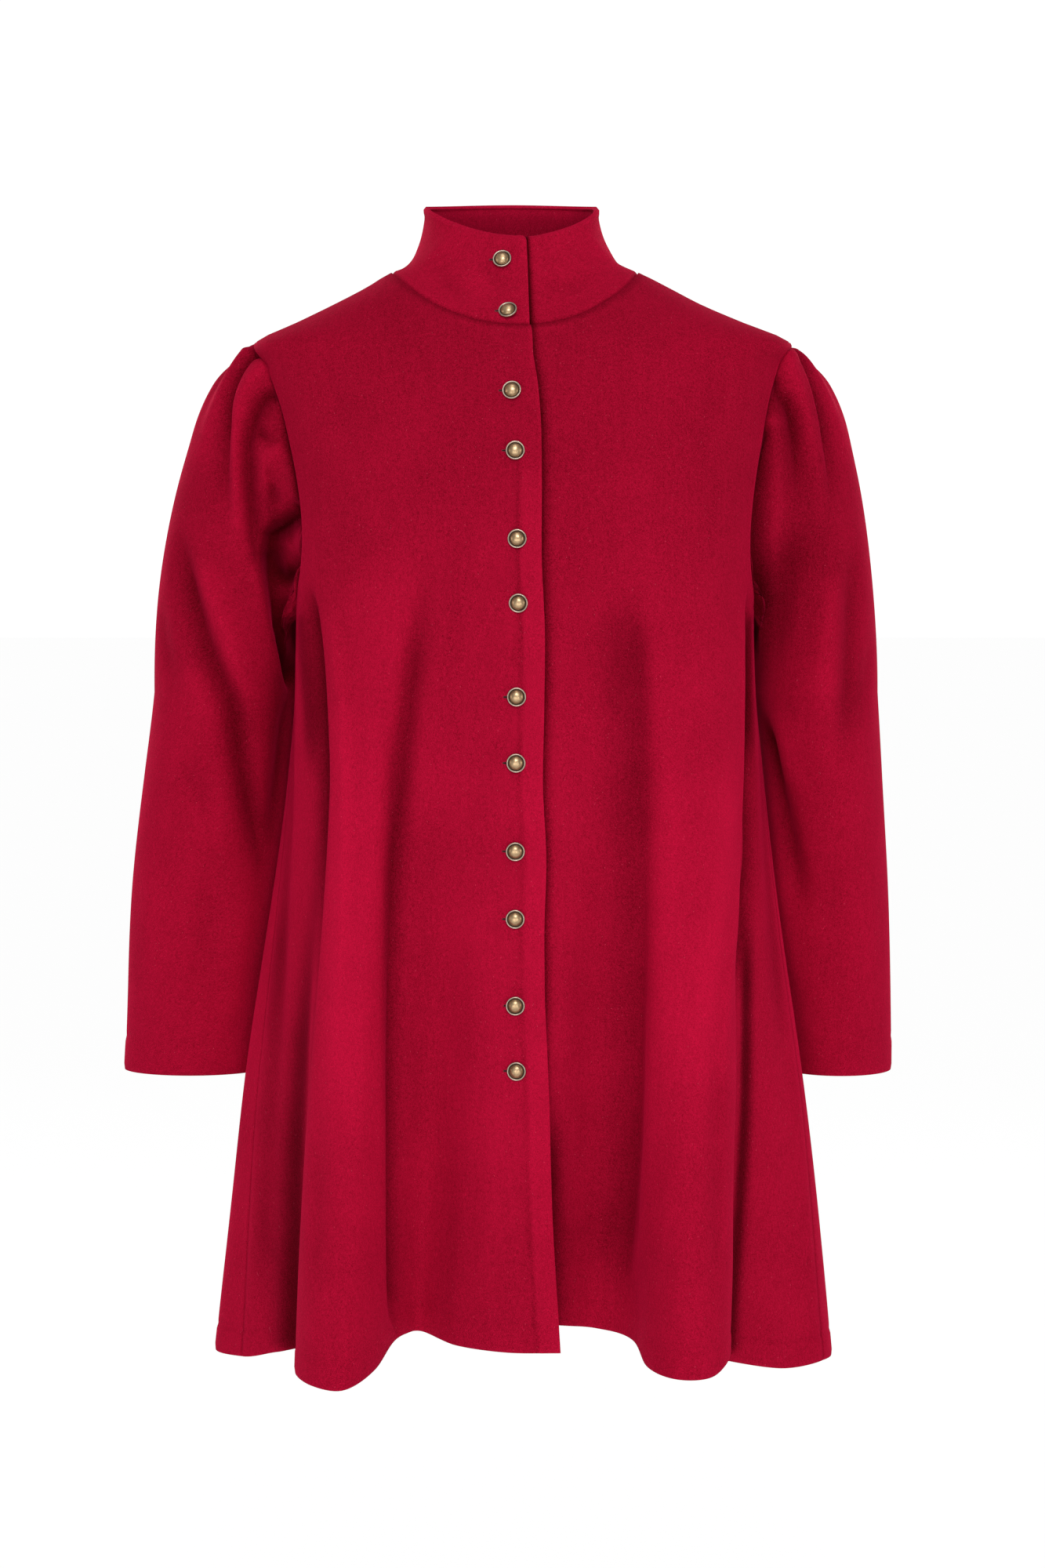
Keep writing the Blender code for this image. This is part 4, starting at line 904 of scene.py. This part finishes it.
def sleeveRing(spec, angles, heights):
    rows = np.array(sorted(spec["rings"]), float)
    outer, inner, y, halfDepth = curveThrough(rows[:, 0], rows[:, 1:], heights).T
    turn = np.radians(angles)
    x = (outer + inner) / 2 + (outer - inner) / 2 * np.cos(turn)
    return np.column_stack([spec["out"] * x, y - halfDepth * np.sin(turn), heights])


def armholeLoop(out):  # share of the way round (0 tip, 1 armpit, 2 tip again) and points
    turn = np.linspace(0, math.pi, 90)
    heights = body["tip"] + (body["armpit"] - body["tip"]) * (1 - np.cos(turn)) / 2
    halves = []
    for front in (True, False):
        bite = armholeBite(heights, front) * (-1 if front else 1)
        halves.append(clothAt(90 + bite if out > 0 else 270 - bite, heights))
    loop = np.concatenate([halves[0], halves[1][-2::-1]])
    outwards = np.column_stack([np.full(len(loop), out * 0.6), np.sign(loop[:, 1]), np.zeros(len(loop))])
    inside = unit(loop.mean(axis=0) - loop) * (0, 1, 1)
    loop = loop - unit(inside) * 1.6 - unit(outwards * np.abs(inside[:, [1]]) + (out * 0.8, 0, 0)) * 1.2
    length = np.concatenate([[0], np.cumsum(np.linalg.norm(np.diff(loop, axis=0), axis=1))])
    pit = length[len(turn) - 1]
    share = np.where(length <= pit, length / pit, 1 + (length - pit) / (length[-1] - pit))
    return share, loop


armholes = {out: armholeLoop(out) for out in (1, -1)}


def sleeveAt(spec, angles, ways):
    angles, ways = np.asarray(angles, float).ravel(), np.asarray(ways, float).ravel()
    out = spec["out"]
    share, loop = armholes[out]
    gathered = (np.minimum(angles, 360 - angles) / 180) ** sleeveHead["gather"]
    gathered = np.where(angles <= 180, gathered, 2 - gathered)
    head = np.stack([np.interp(gathered, share, loop[:, k]) for k in range(3)], axis=1)
    top, foot = spec["rings"][0][0], spec["rings"][-1][0]
    armTop = sleeveRing(spec, angles, np.full(len(angles), float(top)))
    low = (1 - np.cos(np.radians(angles))) / 2
    reach = sleeveHead["reach"][0] + (sleeveHead["reach"][1] - sleeveHead["reach"][0]) * low
    fall = sleeveHead["fall"][0] + (sleeveHead["fall"][1] - sleeveHead["fall"][0]) * low
    leaving = unit(np.array([out, 0.0, -sleeveHead["slope"]]))
    sideways = np.zeros_like(head)
    sideways[:, 1] = -np.sin(np.radians(angles)) * sleeveHead["sideways"]
    first = head + (leaving + sideways) * reach[:, None]
    last = armTop + np.array([0, 0, 1.0]) * fall[:, None]
    s = np.clip(ways, 0, 1)[:, None]
    above = head * (1 - s) ** 3 + first * 3 * s * (1 - s) ** 2 + last * 3 * s * s * (1 - s) + armTop * s**3
    below = sleeveRing(spec, angles, top + (foot - top) * np.clip(ways - 1, 0, 1))
    return np.where(ways[:, None] <= 1, above, below)


def sleeveSheet(name, spec):
    out = spec["out"]
    angles = np.linspace(0, 360, sleeveGrid["columns"] + 1)
    if out < 0:
        angles = angles[::-1]  # so that the columns run the same way round as on the body
    headWays = np.linspace(0, 1, sleeveGrid["headRows"] + 1) ** 1.15
    ways = np.concatenate([headWays, 1 + np.linspace(0, 1, sleeveGrid["armRows"] + 1)[1:]])
    angleGrid, wayGrid = np.meshgrid(angles, ways)
    points = sleeveAt(spec, angleGrid, wayGrid).reshape(angleGrid.shape + (3,))
    normals = gridNormals(points, wraps=True)
    if (normals[-20:, :, 0] * (points[-20:, :, 0] - points[-20:, :, 0].mean())).sum() < 0:
        normals = -normals
    head, cuff = edgeDistance(points, None, 0), edgeDistance(points, None, -1)
    surface = lambda a, w: sleeveAt(spec, a, w)
    rise, tone = pressCreases(points, normals, surface, sleeveCreases[name])
    tone = tone + shadeOf(points, normals, surface, sleeveShades[name])
    rise = rise * smooth(head / 4 + 0.25)
    # painted shade in the seam at the head
    tone = tone - 0.35 * np.exp(-((head / 1.8) ** 2))
    # painted shade under the arm beside the armhole
    below = smooth((np.sin(np.radians(angleGrid / 2)) - 0.8) / 0.15)
    tone = tone - 0.6 * below * np.exp(-((head / 7) ** 2))
    rise = rise + drift(points, spec["seed"], 0.7) * smooth(head / 60) * smooth(cuff / 30)
    rise = rise + 0.8 * np.exp(-(((head - 6) / 5) ** 2)) - 0.4 * (1 - smooth(head / 2.5))
    turned = cuff - edging["cuffTurn"]
    rise = rise + 0.5 * smooth(-turned / 3) - 0.35 * np.exp(-((turned / 2.2) ** 2))
    rise = rise - 0.7 * (1 - smooth(cuff / 1.6))
    # painted shade along the cuff's turn line and a painted highlight on its edge
    tone = tone - 0.08 * np.exp(-((turned / 2) ** 2)) + 0.14 * np.exp(-cuff / 2.0)
    # painted light: darker up at the head, lighter down the arm
    tone = tone + 0.26 * (smooth(wayGrid / 1.6) - 0.7)
    under = np.abs((angleGrid - 180) * 1.0)  # the seam that runs down inside the arm
    rise = rise - 0.5 * np.exp(-((under / 1.8) ** 2))
    # painted shade along that seam
    tone = tone - 0.25 * np.exp(-((under / 1.2) ** 2))
    rise[:, -1], tone[:, -1] = rise[:, 0], tone[:, 0]
    points = points + normals * rise[:, :, None]
    points[:, -1] = points[:, 0]
    return makeSheet(name + "_cloth", points, tone, body["wall"], name,
                     wraps=True)


for name, spec in sleeves.items():
    sheets[name] = sleeveSheet(name, spec)
print("sleeves made")


def brassMaterial(name, look):
    material, start = newMaterial(name)
    place = start.node("TexCoord", out="Object")
    middle = start.node("Attribute", {"attribute_name": "fromMiddle"}, out="Fac")
    worn = noise(start, place, 700, 4, 0.65)
    spots = noise(start, place, 2600, 2)
    groove = middle.between(0.71, 0.745) * (1 - middle.between(0.80, 0.85))
    rim = middle.between(0.82, 0.87) * (1 - middle.between(0.945, 0.985) * 0.8)
    crown = 1 - middle.between(0.36, 0.74)
    rubbed = (worn * 1.1 + crown * 0.5).math("SUBTRACT", 0.2, clamp=True)
    dome = blendColors(start, rubbed, look["dark"], look["dome"])
    metal = blendColors(start, rim * 0.9, dome, look["rim"])
    color = blendColors(start, groove * 0.93, metal, look["groove"])
    roughness = 0.27 + worn * 0.22 + groove * 0.3
    relief = {"Strength": 0.25, "Distance": 0.0001, "Height": worn + spots * 0.4}
    bump = start.node("Bump", None, relief, out="Normal")
    shader = start.node("BsdfPrincipled", None, {
        "Base Color": color, "Metallic": 1 - groove * 0.6, "Roughness": roughness, "Normal": bump})
    start.node("OutputMaterial", None, {"Surface": shader})
    return material


brassLook = {
    "dome": (0.60, 0.42, 0.24, 1),
    "dark": (0.17, 0.10, 0.05, 1),
    "rim": (0.50, 0.42, 0.36, 1),
    "groove": (0.012, 0.008, 0.006, 1),
}
brass = brassMaterial("old_brass", brassLook)

buttons = {
    # height, x, tilt back, tilt to the left, turned round
    "places": (
        (5.5, -15.5, 2, -3, 10), (-35, -11, 9, -12, 60), (-96.5, -8, 4, -7, 140), (-142, -5.6, -2, 3, 200),
        (-208.5, -4, 1, 2, 250), (-257, -3, -2, -2, 20), (-328, -4.5, 2, 1, 75), (-378, -5, -1, 3, 130),
        (-445, -5.5, -6, 2, 300), (-496.5, -5.5, -2, -3, 330), (-562.5, -5.5, -5, 2, 15),
        (-612, -4.5, -7, -3, 95),
    ),
    "onCollar": 2,
    "steps": 56,
    # radius and height from the middle of the dome to the back of the rim
    "profile": (
        (0, 4.95), (1.1, 4.88), (2.2, 4.66), (3.2, 4.26), (4.1, 3.66), (4.75, 2.95), (5.15, 2.2),
        (5.35, 1.75),
        (5.65, 1.6), (5.95, 1.85), (6.25, 2.3), (6.6, 2.52), (6.95, 2.45), (7.18, 2.12), (7.25, 1.7),
        (7.1, 1.25), (6.6, 0.95), (4.2, 0.8), (1.3, 0.75),
    ),
    "shank": (1.3, -2.2),
}


def facingFrame(point, normal):
    z = Vector(normal).normalized()
    x = Vector((0, 0, 1)).cross(z).normalized()
    placed = Matrix((x, z.cross(x), z)).transposed().to_4x4()
    placed.translation = Vector(point)
    return placed


def buttonPiece(index, placed):
    mesh = bmesh.new()
    middle = mesh.verts.layers.float.new("fromMiddle")
    shankRadius, shankEnd = buttons["shank"]
    line = [*buttons["profile"], (shankRadius, shankEnd), (0, shankEnd)]
    verts = [mesh.verts.new((r * mm, 0, h * mm)) for r, h in line]
    for vert, (r, h) in zip(verts, line):
        vert[middle] = r / 7.25 if h > 1.2 else 0.75
    edges = [mesh.edges.new(pair) for pair in zip(verts, verts[1:])]
    bmesh.ops.spin(mesh, geom=verts + edges, cent=(0, 0, 0), axis=(0, 0, 1), angle=math.tau,
                   steps=buttons["steps"], use_merge=True)
    bmesh.ops.remove_doubles(mesh, verts=mesh.verts, dist=0.005 * mm)
    bmesh.ops.recalc_face_normals(mesh, faces=mesh.faces)
    bmesh.ops.transform(mesh, matrix=placed, verts=mesh.verts)
    piece = addPiece(f"button_{index:02d}_metal", mesh, brass)
    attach(piece, "root")
    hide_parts(f"button_{index:02d}")


buttonhole = {"length": 12.6, "width": 2.4, "pastShank": 2.2, "bead": 0.55}


def threadMaterial(name):
    material, start = newMaterial(name)
    flat = start.node("TexCoord", out="UV")
    turns = start.node("SeparateXYZ", None, {0: flat}, out=0)
    sunken = start.node("Attribute", {"attribute_name": "sunken"}, out="Fac")
    ribs = (turns * math.tau * 46).math("SINE") * 0.5 + 0.5
    color = blendColors(start, ribs, (0.15, 0.0015, 0.010, 1), (0.36, 0.004, 0.028, 1))
    # painted shade: the sunk middle of the slit is near black
    color = blendColors(start, sunken, color, (0.010, 0.0005, 0.001, 1))
    bump = start.node("Bump", None, {"Strength": 0.5, "Distance": 0.0003, "Height": ribs}, out="Normal")
    shader = start.node("BsdfPrincipled", None, {
        "Base Color": color, "Roughness": 0.62 + sunken * 0.3, "Normal": bump})
    start.node("OutputMaterial", None, {"Surface": shader})
    return material


thread = threadMaterial("buttonhole_thread")


def buttonholePiece(index, placed):
    # a flat disc pulled into a slot, its rim worked into a bead and its middle sunk
    mesh = bmesh.new()
    uv = mesh.loops.layers.uv.new("turns")
    sunken = mesh.verts.layers.float.new("sunken")
    bmesh.ops.create_circle(mesh, cap_ends=True, radius=1, segments=72)
    for _ in range(3):
        face = max(mesh.faces, key=lambda f: len(f.verts))
        bmesh.ops.inset_individual(mesh, faces=[face], thickness=0.05, use_even_offset=True)
    half, wide, bead = buttonhole["length"] / 2, buttonhole["width"] / 2, buttonhole["bead"]
    steps = ((1.0, 0.05), (0.84, bead), (0.66, bead * 0.8), (0.5, 0.3))  # share of the width, and height
    for vert in mesh.verts:
        ring = min(3, round((1 - vert.co.xy.length) / 0.05))
        share, height = steps[ring]
        turn = math.atan2(vert.co.y, vert.co.x)
        straight = max(-1.0, min(1.0, 1.25 * math.cos(turn)))
        x = (half - wide) * straight + wide * share * math.cos(turn)
        # marks the sunk middle, which is painted in shade
        vert[sunken] = 1.0 if ring == 3 else 0.0
        vert.co = Vector((x, wide * share * math.sin(turn), height)) * mm
    for face in mesh.faces:
        for loop in face.loops:
            loop[uv].uv = (loop.vert.co.x / (buttonhole["length"] * mm), 0)
    bmesh.ops.recalc_face_normals(mesh, faces=mesh.faces)
    face = max(mesh.faces, key=lambda f: len(f.verts))
    if face.normal.z < 0:
        bmesh.ops.reverse_faces(mesh, faces=mesh.faces)
    shift = Matrix.Translation(((buttonhole["pastShank"] - half) * mm, 0, 0))
    bmesh.ops.transform(mesh, matrix=placed @ shift, verts=mesh.verts)
    piece = addPiece(f"buttonhole_{index:02d}", mesh, thread)
    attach(piece, "root")


def surfaceTree(piece):
    mesh = bmesh.new()
    mesh.from_mesh(piece.data)
    tree = BVHTree.FromBMesh(mesh)
    mesh.free()
    return tree


trees = {"front": surfaceTree(sheets["front_right"]), "collar": surfaceTree(sheets["collar"])}
for index, (height, x, back, left, turned) in enumerate(buttons["places"], start=1):
    tree = trees["collar" if index <= buttons["onCollar"] else "front"]
    spots = []
    for across, down in ((0, 0), (4, 0), (-4, 0), (0, 4), (0, -4)):
        start = Vector(((x + across) * mm, -0.5, (height + down) * mm))
        spots.append(tree.ray_cast(start, Vector((0, 1, 0)))[0])
    normal = (spots[1] - spots[2]).cross(spots[3] - spots[4]).normalized()
    placed = facingFrame(spots[0], normal)
    tilt = Matrix.Rotation(math.radians(-back), 4, "X") @ Matrix.Rotation(math.radians(left), 4, "Y")
    buttonPiece(index, placed @ tilt @ Matrix.Rotation(math.radians(turned), 4, "Z"))
    buttonholePiece(index, placed)
print("buttons made")


studio = {
    "floor": -1.22,  # m
    "floorColor": (0.80, 0.80, 0.80, 1),
    "floorGlow": 1.02,
    "floorShade": 0.05,  # how much of its own shading the floor shows
    "backdrop": 1.05,
    "skyLight": 0.34,
    # where, aim, size, watts
    "lights": (
        ((-0.8, -2.9, -0.95), (0, 0, -0.6), 1.2, 16),
        ((0.9, -2.9, -0.9), (0, 0, -0.6), 1.2, 13),
        ((0.1, -3.0, 1.7), (0, 0, -0.1), 1.0, 52),
        ((-3.3, -0.2, -0.1), (0, 0, -0.5), 1.5, 13),
        ((3.3, -0.4, -0.1), (0, 0, -0.5), 1.5, 18),
        ((-1.9, 2.8, 1.0), (0, 0, -0.4), 1.6, 42),
        ((1.7, 3.0, 0.8), (0, 0, -0.4), 1.6, 34),
        ((0, -0.9, 2.2), (0, 0, 0), 1.2, 8),
    ),
}


def floorPiece():
    mesh = bmesh.new()
    bmesh.ops.create_grid(mesh, x_segments=1, y_segments=1, size=40)
    bmesh.ops.translate(mesh, vec=(0, 0, studio["floor"]), verts=mesh.verts)
    material, start = newMaterial("floor")
    grain = noise(start, start.node("TexCoord", out="Object"), 3.0, 2)
    matte = start.node("BsdfPrincipled", None, {
        "Base Color": studio["floorColor"], "Roughness": 0.7 + grain * 0.1})
    paper = start.node("Emission", None, {"Strength": studio["floorGlow"]})
    seen = start.node("LightPath", out="Is Camera Ray") * (1 - studio["floorShade"])
    shader = start.node("MixShader", None, {0: seen, 1: matte, 2: paper})
    start.node("OutputMaterial", None, {"Surface": shader})
    floor = addPiece("floor", mesh, material)


def aimed(thing, place, aim):
    thing.location = place
    thing.rotation_euler = (Vector(aim) - Vector(place)).to_track_quat("-Z", "Y").to_euler()


def lightUp():
    world = bpy.data.worlds.new("studio")
    bpy.context.scene.world = world
    world.use_nodes = True
    world.node_tree.nodes.clear()
    start = Signal(world.node_tree)
    seen = start.node("LightPath", out="Is Camera Ray")
    strength = seen * (studio["backdrop"] - studio["skyLight"]) + studio["skyLight"]
    sky = start.node("Background", None, {"Color": (1, 1, 1, 1), "Strength": strength})
    start.node("OutputWorld", None, {"Surface": sky})
    for index, (place, aim, size, watts) in enumerate(studio["lights"], start=1):
        data = bpy.data.lights.new(f"softbox_{index}", "AREA")
        data.shape, data.size, data.energy = "DISK", size, watts
        lamp = bpy.data.objects.new(data.name, data)
        bpy.context.scene.collection.objects.link(lamp)
        aimed(lamp, place, aim)


view = {"place": (0, -3.0, -0.216), "tiltDown": 3.55, "lens": 87.1, "sensor": 36}


def makeCamera():
    data = bpy.data.cameras.new("camera")
    data.sensor_width, data.lens = view["sensor"], view["lens"]
    data.dof.use_dof = False
    data.clip_start, data.clip_end = 0.05, 100
    camera = bpy.data.objects.new("camera", data)
    camera.location = view["place"]
    camera.rotation_euler = (math.radians(90 - view["tiltDown"]), 0, 0)
    bpy.context.scene.collection.objects.link(camera)
    bpy.context.scene.camera = camera


floorPiece()
lightUp()
makeCamera()
print("studio made")

bpy.context.scene.view_settings.view_transform = "Standard"
